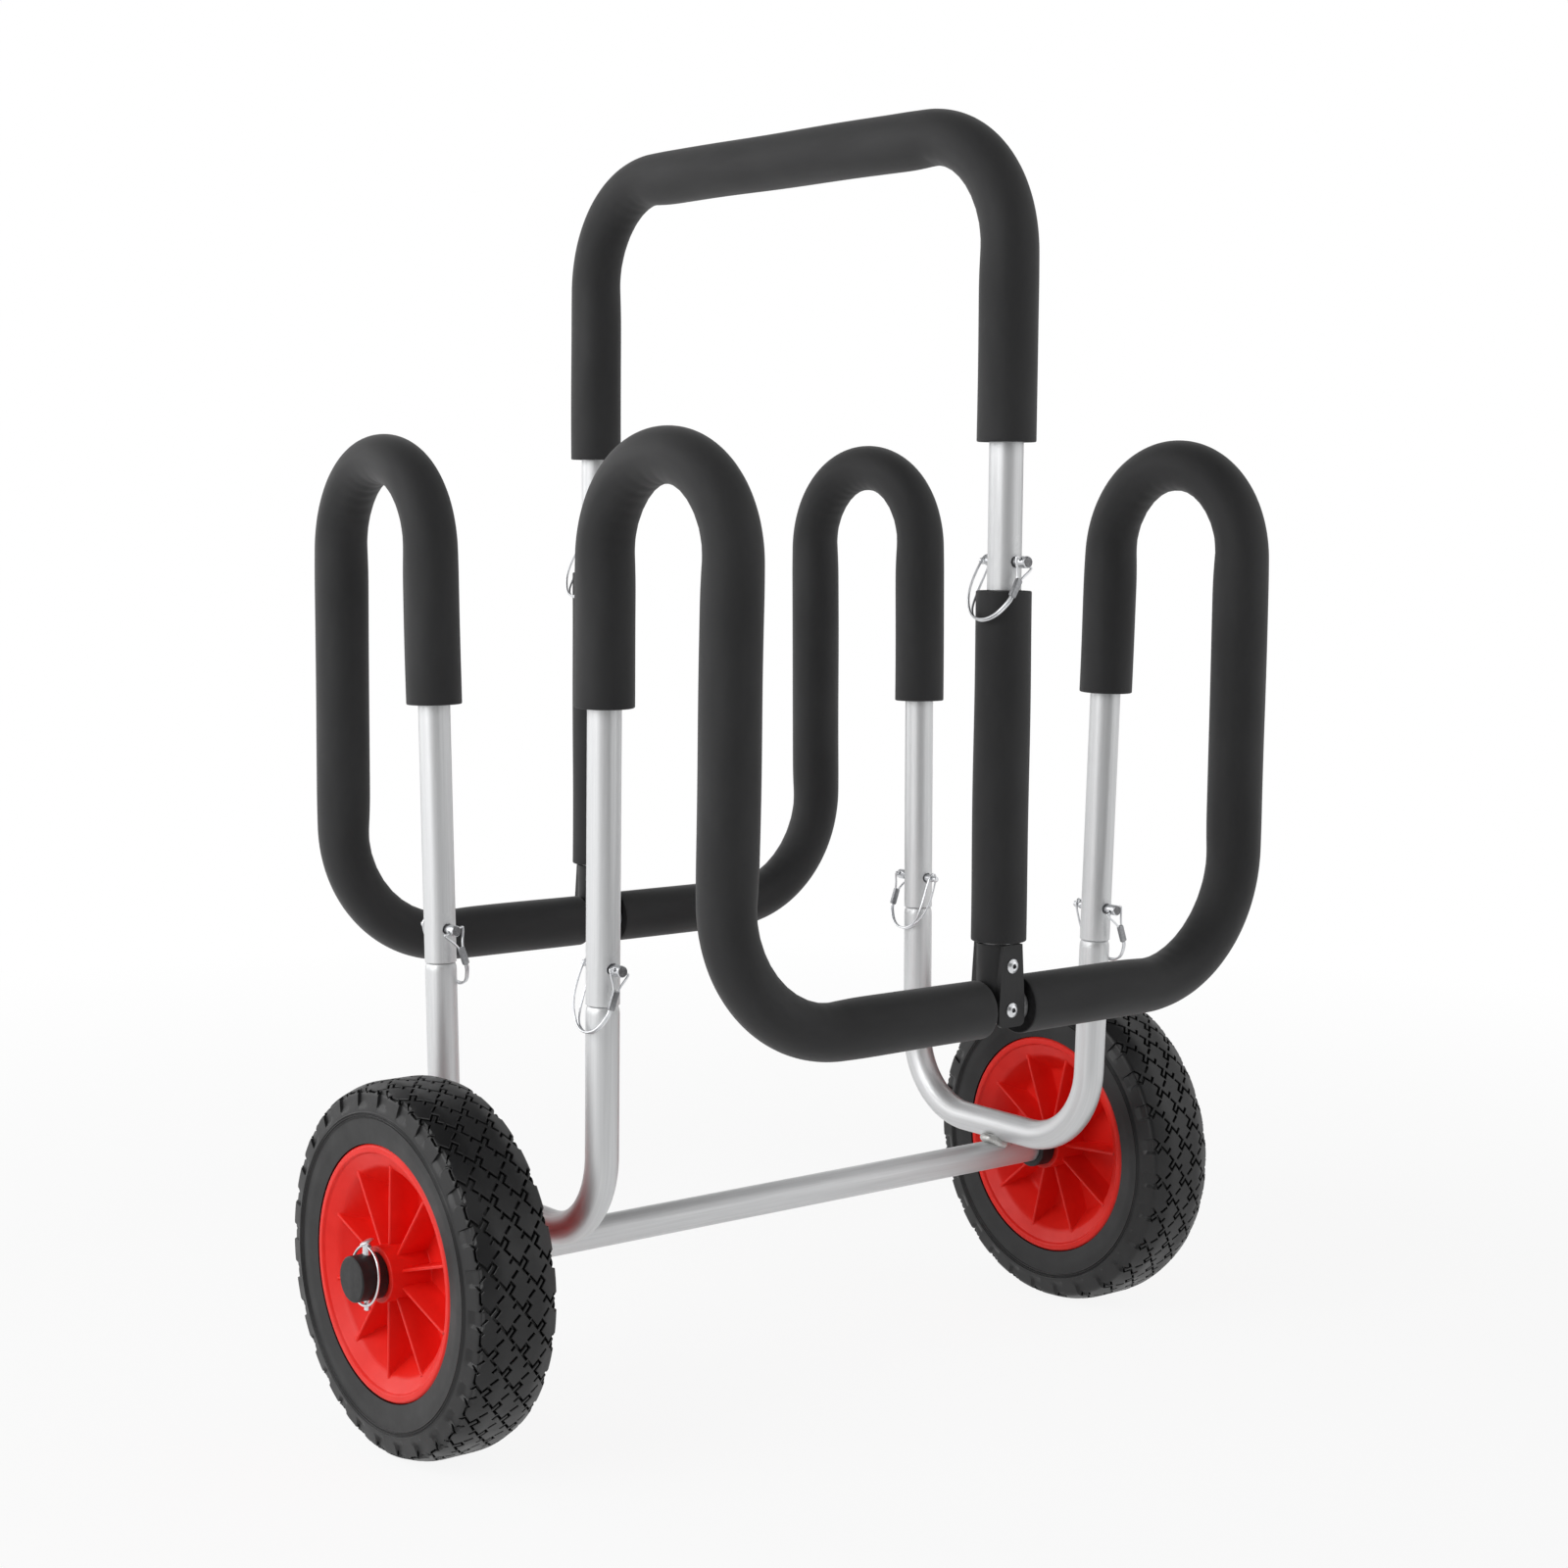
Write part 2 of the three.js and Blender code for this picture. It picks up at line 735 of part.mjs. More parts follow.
function axleCollar(side) {
  const outer_x = hub_inner_x - running_gap;
  const outline = [
    [outer_x - collar_length, sleeve_bore_radius], [outer_x - collar_length, collar_diameter / 2],
    [outer_x, collar_diameter / 2], [outer_x, sleeve_bore_radius],
    [outer_x - collar_length, sleeve_bore_radius],
  ];
  const geometry = turned(outline, turned_sides);
  geometry.rotateZ(side > 0 ? 0 : Math.PI);
  geometry.translate(0, 0, axle_height);
  return geometry;
}

// Lock pins. A pin lies along X about its middle, with its head at the -X end, and the bail hangs to -Z.

function lockPin(length) {
  const half = length / 2;
  const head = pin_head_diameter / 2;
  const tip = pin_tip_diameter / 2;
  const outline = [
    [-half, 0], [-half, head], [pin_head_length - half, head],
    [pin_head_length - half, pin_diameter / 2], [half - pin_tip_length, pin_diameter / 2],
    [half - pin_tip_length, tip], [half, tip], [half, 0],
  ];
  const hole_place = new THREE.Vector3(pin_head_length / 2 - half, 0, 0);
  const hole_length = pin_head_diameter + 2 * cut_overrun;
  const hole = rod(Y_AXIS, hole_place, wire_hole_diameter / 2, hole_length, pin_sides);
  return cut(turned(outline, pin_sides), [hole]);
}

function bailCentreline() {
  const half = pin_length / 2;
  const spread = strand_spacing / 2;
  const base = pin_head_length / 2 - half;
  const at = (along, across, down) => new THREE.Vector3(along, across, -down);
  const crimp_along = half * bail_outline_shares[0][0];
  const crimp_end = crimp_start + crimp_length;
  const arc = bail_outline_shares.slice(1).map(([along, down]) => [half * along, bail_depth * down]);
  const [snap_along] = arc.at(-1);
  const loop = pin_tip_diameter / 2 + seat_gap + wire_diameter;
  return [
    at(crimp_along, spread, crimp_start + crimp_length / 3),
    at(crimp_along, spread, crimp_start),
    at(base, bail_base_half_width, 0),
    at(base, -bail_base_half_width, 0),
    at(crimp_along, -spread, crimp_start),
    ...arc.slice(0, -2).map(([along, down]) => at(along, -spread, down)),
    at(arc.at(-2)[0], -loop, arc.at(-2)[1]),
    at(snap_along, -loop, 0),
    at(snap_along, -spread, -snap_loop_reach),
    at(snap_along, spread, -snap_loop_reach),
    at(snap_along, loop, 0),
    at(arc.at(-2)[0], loop, arc.at(-2)[1]),
    ...arc.slice(0, -2).reverse().map(([along, down]) => at(along, spread, down)),
    at(crimp_along, spread, crimp_end - crimp_length / 3),
  ];
}

function bail() {
  const points = bailCentreline();
  const last = points.length - 1;
  const stations = points.map((point, i) => ({
    point,
    tangent: direction(points[Math.max(i - 1, 0)], points[Math.min(i + 1, last)]),
  }));
  carryFrames(stations, 0, X_AXIS);
  const wire = sweep(new Route(stations), section(wire_diameter / 2, wire_sides));
  const crimp = new THREE.BoxGeometry(crimp_thickness, crimp_width, crimp_length);
  const crimp_along = (pin_length / 2) * bail_outline_shares[0][0];
  crimp.translate(crimp_along, 0, -crimp_start - crimp_length / 2);
  return join([wire, crimp]);
}

// Turns a pin or bail made along X to lie along Y, its head to the given end and its bail to the given side
function placedPin(geometry, place, head_end, bail_side, tilt) {
  geometry.rotateZ(-head_end * Math.PI / 2);
  geometry.rotateY(bail_side * -tilt);
  geometry.translate(place.x, place.y, place.z);
  return geometry;
}

// The wheel pin stands upright with its head on top
function wheelPin(side) {
  const geometry = lockPin(wheel_pin_length);
  geometry.rotateY(Math.PI / 2);
  geometry.translate(side * wheel_pin_x, 0, wheel_pin_height);
  return geometry;
}

// The ring hangs from the cross hole in the head, and leans just past the tip on the outboard side
function wheelPinRing(side) {
  const hinge_rise = wheel_pin_length / 2 - pin_head_length / 2;
  const stand_off = pin_tip_diameter / 2 + ring_wire_diameter / 2 + seat_gap;
  const geometry = new THREE.TorusGeometry(ring_radius, ring_wire_diameter / 2, wire_sides, ring_steps);
  geometry.rotateY(Math.PI / 2);
  geometry.scale(1, ring_width_share, 1);
  geometry.translate(0, 0, -ring_radius);
  geometry.rotateY(side * -Math.asin(stand_off / (2 * ring_radius)));
  geometry.translate(side * wheel_pin_x, 0, wheel_pin_height + hinge_rise);
  return facingOut(geometry);
}

// Everything, side by side and end by end

const sides = [['left', -1], ['right', 1]];
const ends = [['front', -1], ['rear', 1]];

// Which way each frame pin's head points along Y, and on which side along X its bail hangs
const frame_pins = [
  ['front_left', armPlace(-1, -1, rack_pin_height), -1, -1, bail_tilt_on_tube],
  ['rear_left', armPlace(-1, 1, rack_pin_height), -1, 1, bail_tilt_on_tube],
  ['front_right', armPlace(1, -1, rack_pin_height), -1, 1, bail_tilt_on_tube],
  ['rear_right', armPlace(1, 1, rack_pin_height), 1, -1, bail_tilt_on_tube],
  ['handle_front', postPlace(-1, handle_pin_height), -1, -1, bail_tilt_on_foam],
  ['handle_rear', postPlace(1, handle_pin_height), -1, -1, bail_tilt_on_foam],
];

add('axle_tube', axleTube(), 'aluminium');
add('handle_tube', handleTube(), 'aluminium');
add('handle_foam', handleFoam(), 'foam');

sides.forEach(([name, side]) => {
  add(`frame_u_${name}`, frameU(side), 'aluminium');
  add(`weld_${name}`, weldBead(side), 'weld');
  add(`tyre_${name}`, wheelPart(side, tyre()), 'rubber');
  add(`rim_${name}`, wheelPart(side, rim(first_rib_angle[name])), 'red_plastic');
  add(`axle_collar_${name}`, axleCollar(side), 'plastic');
  add(`axle_cap_${name}`, axleCap(side), 'plastic');
  add(`wheel_pin_${name}`, wheelPin(side), 'zinc');
  add(`wheel_pin_ring_${name}`, wheelPinRing(side), 'zinc');
});

ends.forEach(([name, end]) => {
  add(`rack_tube_${name}`, rackTube(end), 'aluminium');
  sides.forEach(([side_name, side]) => {
    const key = `${name}_${side_name}`;
    add(`rack_foam_${key}`, rackFoam(side, end, axle_height + sleeve_end_rise[key]), 'foam');
  });
  add(`bracket_${name}`, bracket(end), 'plastic');
  add(`lower_rivet_${name}`, rivet(end, crossbar_height), 'zinc');
  add(`upper_rivet_${name}`, rivet(end, upper_rivet_height), 'zinc');
  add(`post_tube_${name}`, postTube(end), 'aluminium');
  add(`post_foam_${name}`, postFoam(end), 'foam');
});

frame_pins.forEach(([name, ...placing]) => {
  add(`lock_pin_${name}`, placedPin(lockPin(pin_length), ...placing), 'zinc');
  add(`bail_${name}`, placedPin(bail(), ...placing), 'zinc');
});

export default cart;
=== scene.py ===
import logging
import math
from dataclasses import dataclass, field
from enum import Enum
from typing import Callable, Optional, Sequence

import bmesh
import bpy
import numpy as np
from mathutils import Matrix, Vector


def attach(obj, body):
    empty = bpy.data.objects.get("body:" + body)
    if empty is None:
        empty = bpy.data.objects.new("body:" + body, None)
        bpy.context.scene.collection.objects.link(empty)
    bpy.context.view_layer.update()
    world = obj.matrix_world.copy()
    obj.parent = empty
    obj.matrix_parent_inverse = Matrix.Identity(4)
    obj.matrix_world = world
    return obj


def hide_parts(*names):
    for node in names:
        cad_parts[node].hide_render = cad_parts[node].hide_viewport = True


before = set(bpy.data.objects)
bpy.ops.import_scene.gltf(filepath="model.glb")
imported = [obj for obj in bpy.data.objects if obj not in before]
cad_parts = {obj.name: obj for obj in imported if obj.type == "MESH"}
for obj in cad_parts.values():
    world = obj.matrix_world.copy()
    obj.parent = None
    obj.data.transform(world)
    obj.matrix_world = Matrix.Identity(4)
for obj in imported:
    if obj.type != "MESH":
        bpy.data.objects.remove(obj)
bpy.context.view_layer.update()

# A two-wheeled kayak cart dressed over its CAD frame. Sizes are in millimetres until a mesh is made from them.
# +X is the cart's right, -Y its front, +Z up, and the origin is on the ground in the middle.

LOG = logging.getLogger("kayak_cart")
MM = 0.001
FULL_TURN = 2.0 * math.pi
LIE = "lie"
OVERCUT = 4.0

Grid = np.ndarray
Warp = Callable[["Stations", Grid, Grid], Grid]


class End(Enum):
    """The two ends of the cart along Y."""

    FRONT = -1
    REAR = 1

    @property
    def word(self) -> str:
        """The end's name as the CAD nodes have it."""
        return self.name.lower()


class Side(Enum):
    """The two sides of the cart along X."""

    LEFT = -1
    RIGHT = 1

    @property
    def word(self) -> str:
        """The side's name as the CAD nodes have it."""
        return self.name.lower()


class Shaping(Enum):
    """What a shaping tool does to a piece."""

    CUT = "DIFFERENCE"
    JOIN = "UNION"


class Solver(Enum):
    """How a cut is worked out: exactly, or fast for very many cuts."""

    EXACT = "EXACT"
    FAST = "MANIFOLD"


# Colours and finishes


def linear(hex_code: str) -> tuple[float, float, float, float]:
    """Turns an sRGB colour to linear light.

    Args:
        hex_code: the colour as six hex digits.

    Returns:
        Red, green, blue and an alpha of one.
    """
    parts = [int(hex_code[i:i + 2], 16) / 255.0 for i in (0, 2, 4)]
    bent = [p / 12.92 if p <= 0.04045 else ((p + 0.055) / 1.055) ** 2.4 for p in parts]
    return bent[0], bent[1], bent[2], 1.0


def add_node(tree: bpy.types.NodeTree, kind: str, inputs: Optional[dict] = None, **settings) -> bpy.types.Node:
    """Adds one node with its settings, values and links.

    Args:
        tree: the node tree.
        kind: the node's type name.
        inputs: socket name or number, to a value or to the output socket that feeds it.
        settings: the node's own properties.

    Returns:
        The node.
    """
    node = tree.nodes.new(kind)
    for name, value in settings.items():
        setattr(node, name, value)
    for name, value in (inputs or {}).items():
        socket = node.inputs[name]
        if isinstance(value, bpy.types.NodeSocket):
            tree.links.new(value, socket)
        else:
            socket.default_value = value
    return node


def map_range(tree: bpy.types.NodeTree, value: bpy.types.NodeSocket, source: tuple[float, float],
              target: tuple[float, float]) -> bpy.types.NodeSocket:
    """Maps a value from one span of numbers to another.

    Args:
        tree: the node tree.
        value: the socket that feeds it.
        source: the span that the value comes from.
        target: the span that it goes to.

    Returns:
        The result's socket.
    """
    inputs = {
        "Value": value, "From Min": source[0], "From Max": source[1], "To Min": target[0], "To Max": target[1],
    }
    return add_node(tree, "ShaderNodeMapRange", inputs).outputs["Result"]


def empty_tree(owner: bpy.types.ID) -> bpy.types.NodeTree:
    """Turns on the nodes of a material or a world, and gives its emptied tree."""
    owner.use_nodes = True
    owner.node_tree.nodes.clear()
    return owner.node_tree


@dataclass(frozen=True)
class Grain:
    """One layer of fine relief on a surface.

    size is the width of a grain in millimetres, height its depth, and stretch how many times longer than wide it
    is along the piece.
    """

    size: float
    height: float
    stretch: float = 1.0
    detail: float = 2.0


@dataclass(frozen=True)
class Finish:
    """A real material, as numbers for one principled shader and its patterns.

    Colour runs between tone and shade in soft patches of the given size, roughness moves with the same patches,
    and each grain adds relief. patch_span is the part of the noise that the patches spread over.
    """

    name: str
    slot: str
    tone: str
    shade: str
    roughness: float
    roughness_spread: float
    patch: float
    patch_stretch: float = 1.0
    metallic: float = 0.0
    specular: float = 0.5
    sheen: float = 0.0
    grains: tuple[Grain, ...] = ()
    patch_detail: float = 3.0
    patch_span: tuple[float, float] = (0.3, 0.7)
    noise_roughness: float = 0.55

    def noise(self, tree: bpy.types.NodeTree, size: float, stretch: float, detail: float) -> bpy.types.NodeSocket:
        """A noise whose grains are size millimetres wide and stretched along the piece.

        Args:
            tree: the material's node tree.
            size: a grain's width in millimetres.
            stretch: its length over its width.
            detail: how many finer octaves lie on it.

        Returns:
            The noise's value socket.
        """
        lie = add_node(tree, "ShaderNodeAttribute", attribute_name=LIE)
        along = 1.0 / stretch
        scaled = add_node(
            tree, "ShaderNodeMapping", {"Vector": lie.outputs["Vector"], "Scale": (1.0, 1.0, along)},
        )
        texture = add_node(
            tree, "ShaderNodeTexNoise",
            {
                "Vector": scaled.outputs["Vector"], "Scale": 1.0 / (size * MM), "Detail": detail,
                "Roughness": self.noise_roughness,
            },
        )
        return texture.outputs["Fac"]

    def material(self) -> bpy.types.Material:
        """Builds the material once and gives the same one afterwards.

        Returns:
            The node material.
        """
        made = bpy.data.materials.get(self.name)
        if made is not None:
            return made
        made = bpy.data.materials.new(self.name)
        tree = empty_tree(made)
        patches = self.noise(tree, self.patch, self.patch_stretch, self.patch_detail)
        colour = self.two_tones(tree, map_range(tree, patches, self.patch_span, (0.0, 1.0)))
        around = (self.roughness - self.roughness_spread, self.roughness + self.roughness_spread)
        rough = map_range(tree, patches, self.patch_span, around)
        shader = add_node(
            tree, "ShaderNodeBsdfPrincipled",
            {
                "Base Color": colour, "Roughness": rough, "Metallic": self.metallic,
                "Specular IOR Level": self.specular, "Sheen Weight": self.sheen,
            },
        )
        relief = None
        for grain in self.grains:
            height = self.noise(tree, grain.size, grain.stretch, grain.detail)
            inputs = {"Height": height, "Distance": grain.height * MM, "Strength": 1.0}
            if relief is not None:
                inputs["Normal"] = relief
            relief = add_node(tree, "ShaderNodeBump", inputs).outputs["Normal"]
        if relief is not None:
            tree.links.new(relief, shader.inputs["Normal"])
        add_node(tree, "ShaderNodeOutputMaterial", {"Surface": shader.outputs["BSDF"]})
        return made

    def two_tones(self, tree: bpy.types.NodeTree, share: bpy.types.NodeSocket) -> bpy.types.NodeSocket:
        """Mixes tone into shade by share, with a colour ramp, and gives the colour socket."""
        ramp = add_node(tree, "ShaderNodeValToRGB", {"Fac": share})
        ramp.color_ramp.elements[0].color = linear(self.tone)
        ramp.color_ramp.elements[1].color = linear(self.shade)
        return ramp.outputs["Color"]


# Anodised aluminium: drawn tube with a satin oxide skin, bright and greyish, with faint streaks along its length
ANODISED = Finish(
    "anodised aluminium", "aluminium", "e1e2e3", "d7d8d9", 0.46, 0.05, 1.6, 60.0, metallic=0.6,
    grains=(Grain(0.5, 0.004, 50.0), Grain(6.0, 0.02, 12.0)),
)

# Weld: aluminium filler left as welded, paler and rougher than the tube, with a frosty skin
FILLER = Finish(
    "welded aluminium filler", "weld", "d6d6d4", "b9b9b6", 0.5, 0.08, 1.5, metallic=0.8,
    grains=(Grain(0.7, 0.05),),
)

# Closed-cell foam: extruded nitrile foam sleeve, nearly black, matt, with a fine pitted skin
FOAM = Finish(
    "closed-cell nitrile foam", "foam", "2a2a2b", "242425", 0.7, 0.05, 30.0, 3.0, specular=0.35,
    sheen=0.2, grains=(Grain(0.9, 0.03), Grain(14.0, 0.12, 2.0)),
)

# Cut foam: the same foam where the sleeve is cut through, so the open cells make it darker and rougher
CUT_FOAM = Finish(
    "cut nitrile foam", "foam", "212122", "171718", 0.92, 0.04, 2.5, specular=0.25, grains=(Grain(1.1, 0.12),),
)

# Tyre rubber: foam-filled tyre with a moulded skin, a satin grey black with a dusty bloom
TYRE_RUBBER = Finish(
    "moulded tyre rubber", "tyre", "1a1a1b", "151516", 0.44, 0.06, 18.0, specular=0.42,
    grains=(Grain(0.8, 0.02), Grain(5.0, 0.05)),
)

# Red polypropylene: injection-moulded rim, glossy and evenly coloured with faint flow marks
RED_PP = Finish(
    "moulded red polypropylene", "red_plastic", "f62e25", "ee261c", 0.4, 0.04, 24.0, specular=0.28,
    grains=(Grain(9.0, 0.02),),
)

# Black nylon: injection-moulded brackets, caps and collars with a fine spark-eroded texture
BLACK_NYLON = Finish(
    "moulded black nylon", "black_plastic", "242425", "1e1e1f", 0.48, 0.06, 8.0, specular=0.35,
    grains=(Grain(0.6, 0.02),),
)

# Zinc-plated steel: pins, wires and rivets, bright and smooth with a slight haze
ZINC = Finish(
    "zinc-plated steel", "zinc", "e4e5e7", "d3d5d8", 0.34, 0.05, 2.0, 4.0, metallic=0.95,
    grains=(Grain(1.2, 0.006),),
)

# Pressed steel: the bail's crimp, a sleeve squeezed flat on the wire, dull grey where the die marked it
PRESSED_STEEL = Finish(
    "pressed steel crimp", "zinc", "9b9c9e", "86878a", 0.36, 0.06, 2.0, metallic=0.9, grains=(Grain(0.8, 0.02),),
)

# Dark steel: darker than the plating, on the knurled end face of a pin's head and in a rivet's pit, where it is
# the broken stem's steel and painted shade of the hole
DARK_STEEL_AND_PIT_SHADE = Finish(
    "knurled dark steel", "zinc", "88888a", "58585a", 0.42, 0.1, 0.8, metallic=0.9, grains=(Grain(0.5, 0.06),),
)


# Lines and grids


@dataclass
class Stations:
    """Places along a route.

    Each has a point, a direction, two cross directions, the way to the bend's middle, and 1 / radius.
    """

    lengths: Grid
    points: Grid
    tangents: Grid
    normals: Grid
    binormals: Grid
    inward: Grid
    bend: Grid


def unit(vector: Grid) -> Grid:
    """The vector made one long."""
    return vector / np.linalg.norm(vector, axis=-1, keepdims=True)


def turned_about(vector: Grid, axis: Grid, angle: Grid) -> Grid:
    """Turns vectors about unit axes: v cos a + (axis x v) sin a + axis (axis . v)(1 - cos a)."""
    cosine, sine = np.cos(angle)[..., None], np.sin(angle)[..., None]
    dot = np.sum(vector * axis, axis=-1, keepdims=True)
    return vector * cosine + np.cross(axis, vector) * sine + axis * dot * (1.0 - cosine)


def turns(sides: int) -> Grid:
    """The angles of a whole turn in equal steps."""
    return np.arange(sides) * FULL_TURN / sides


def ways_round(normals: Grid, binormals: Grid, angles: Grid) -> Grid:
    """Unit directions round each place, from its two cross directions."""
    cosine, sine = np.cos(angles)[None, :, None], np.sin(angles)[None, :, None]
    return normals[:, None] * cosine + binormals[:, None] * sine


def laid_straight(radii: Grid, angles: Grid, lengths: Grid) -> Grid:
    """The places of a tube's points with its middle line laid straight along Z."""
    along = np.repeat(lengths[:, None], len(angles), axis=1)
    return np.stack([radii * np.cos(angles), radii * np.sin(angles), along], axis=-1)


class Route:
    """A middle line of straights and round bends, whose cross directions are carried along with no twist."""

    def __init__(self, corners: Sequence[Sequence[float]], radii: Sequence[float] = (),
                 cross: Sequence[float] = (1.0, 0.0, 0.0)) -> None:
        """Lays the line out.

        Args:
            corners: the corner points.
            radii: one bend radius for each inner corner.
            cross: a direction that the first cross direction is taken from.
        """
        points = [np.array(corner, float) for corner in corners]
        self.parts: list[tuple] = []
        tangent = unit(points[1] - points[0])
        seed = np.array(cross, float)
        normal = unit(seed - tangent * np.dot(seed, tangent))
        start, length = points[0], 0.0
        for i, radius in enumerate(radii):
            onward = unit(points[i + 2] - points[i + 1])
            angle = math.acos(float(np.clip(np.dot(tangent, onward), -1.0, 1.0)))
            axis = unit(np.cross(tangent, onward))
            bend_start = points[i + 1] - tangent * radius * math.tan(angle / 2.0)
            run = float(np.dot(bend_start - start, tangent))
            self.parts.append((length, start, tangent, normal, axis, 0.0))
            length += run
            self.parts.append((length, bend_start, tangent, normal, axis, 1.0 / radius))
            length += radius * angle
            inward = np.cross(axis, tangent)
            start = bend_start + radius * (math.sin(angle) * tangent + (1.0 - math.cos(angle)) * inward)
            normal = turned_about(normal, axis, np.array(angle))
            tangent = onward
        self.parts.append((length, start, tangent, normal, np.cross(tangent, normal), 0.0))
        self.length = length + float(np.linalg.norm(points[-1] - start))

    def at(self, lengths: Grid) -> Stations:
        """Places at the given lengths; before the start and past the end the line goes straight on.

        Args:
            lengths: lengths from the start, in any order.

        Returns:
            One station for each length.
        """
        starts = np.array([part[0] for part in self.parts])
        index = np.clip(np.searchsorted(starts, lengths, side="right") - 1, 0, len(self.parts) - 1)
        start, tangent, normal, axis = (
            np.array([part[k] for part in self.parts])[index] for k in (1, 2, 3, 4)
        )
        bend = np.array([part[5] for part in self.parts])[index]
        along = lengths - starts[index]
        turn = along * bend
        inward = np.cross(axis, tangent)
        safe = np.where(bend > 0.0, bend, 1.0)
        ahead = np.where(bend > 0.0, np.sin(turn) / safe, along)[:, None]
        aside = np.where(bend > 0.0, (1.0 - np.cos(turn)) / safe, 0.0)[:, None]
        tangents = turned_about(tangent, axis, turn)
        normals = turned_about(normal, axis, turn)
        return Stations(
            lengths, start + tangent * ahead + inward * aside, tangents, normals, np.cross(tangents, normals),
            turned_about(inward, axis, turn), bend,
        )

    def lengths_between(self, first: float, last: float, bend_step: float = 3.0,
                        straight_step: float = 40.0) -> Grid:
        """Lengths from first to last, close together in bends and far apart on straights.

        Args:
            first: the first length.
            last: the last length.
            bend_step: the spacing in a bend.
            straight_step: the spacing on a straight.

        Returns:
            The lengths, rising.
        """
        ends = [part[0] for part in self.parts[1:]] + [max(self.length, last)]
        runs = []
        for part, end in zip(self.parts, ends):
            low, high = max(part[0], first) if runs or part[0] > 0.0 else first, min(end, last)
            if high > low:
                step = bend_step if part[5] > 0.0 else straight_step
                runs.append(np.linspace(low, high, max(2, int(math.ceil((high - low) / step)) + 1))[:-1])
        return np.concatenate([*runs, [last]])


def rounded(corners: Sequence[tuple], closed: bool = False, steps: int = 5) -> Grid:
    """Rounds the corners of a flat line, each with its own radius.

    Args:
        corners: (first, second, radius) for each corner; a radius of 0 keeps it sharp.
        closed: whether the line closes on itself.
        steps: points less one in each rounded corner.

    Returns:
        The points of the rounded line.
    """
    places = np.array([corner[:2] for corner in corners], float)
    count = len(corners)
    points: list[Grid] = []
    for i, (_, _, radius) in enumerate(corners):
        at_end = not closed and i in (0, count - 1)
        if radius <= 0.0 or at_end:
            points.append(places[i][None])
            continue
        back, onward = places[i - 1] - places[i], places[(i + 1) % count] - places[i]
        short = 0.49 * min(np.linalg.norm(back), np.linalg.norm(onward))
        back, onward = unit(back), unit(onward)
        half = math.acos(float(np.clip(np.dot(back, onward), -1.0, 1.0))) / 2.0
        reach = min(radius / math.tan(half), short)
        share = np.linspace(0.0, 1.0, steps + 1)[:, None]
        first, last = places[i] + back * reach, places[i] + onward * reach
        bow = (1.0 - share) ** 2 * first + 2.0 * share * (1.0 - share) * places[i] + share ** 2 * last
        points.append(bow)
    return np.concatenate(points)


@dataclass
class Patch:
    """A grid of points in rows and columns, with the place of each on the piece laid out straight."""

    points: Grid
    lie: Optional[Grid] = None
    closed_rows: bool = False
    closed_columns: bool = True

    def faces(self, offset: int) -> Grid:
        """Four corners for each square of the grid.

        Args:
            offset: the number of points before this patch.

        Returns:
            Corner numbers, four to a face.
        """
        rows, columns = self.points.shape[:2]
        row, column = np.meshgrid(
            np.arange(rows if self.closed_rows else rows - 1),
            np.arange(columns if self.closed_columns else columns - 1), indexing="ij",
        )
        down, across = (row + 1) % rows, (column + 1) % columns
        corners = [
            row * columns + column, row * columns + across, down * columns + across, down * columns + column,
        ]
        return np.stack(corners, axis=-1).reshape(-1, 4) + offset


def swept(route: Route, outline: Grid, sides: int, closed: bool = False, warp: Optional[Warp] = None) -> Patch:
    """Carries a profile round and along a route: each row is a circle about the route's place at that length.

    Args:
        route: the middle line.
        outline: (length along the route, radius) for each row.
        sides: points round each row.
        closed: whether the last row joins the first.
        warp: changes the radii, from the stations, the angles and the radii as a grid.

    Returns:
        The surface as a patch.
    """
    stations = route.at(outline[:, 0])
    angles = turns(sides)
    radii = np.repeat(outline[:, 1:2], sides, axis=1)
    if warp is not None:
        radii = warp(stations, angles, radii)
    around = ways_round(stations.normals, stations.binormals, angles)
    points = stations.points[:, None] + radii[..., None] * around
    return Patch(points, laid_straight(radii, angles, outline[:, 0]), closed)


def straight(start: Sequence[float], end: Sequence[float], cross: Sequence[float] = (1.0, 0.0, 0.0)) -> Route:
    """A straight route between two points."""
    return Route([start, end], (), cross)


X_LINE = straight((0.0, 0.0, 0.0), (1.0, 0.0, 0.0), (0.0, 0.0, 1.0))


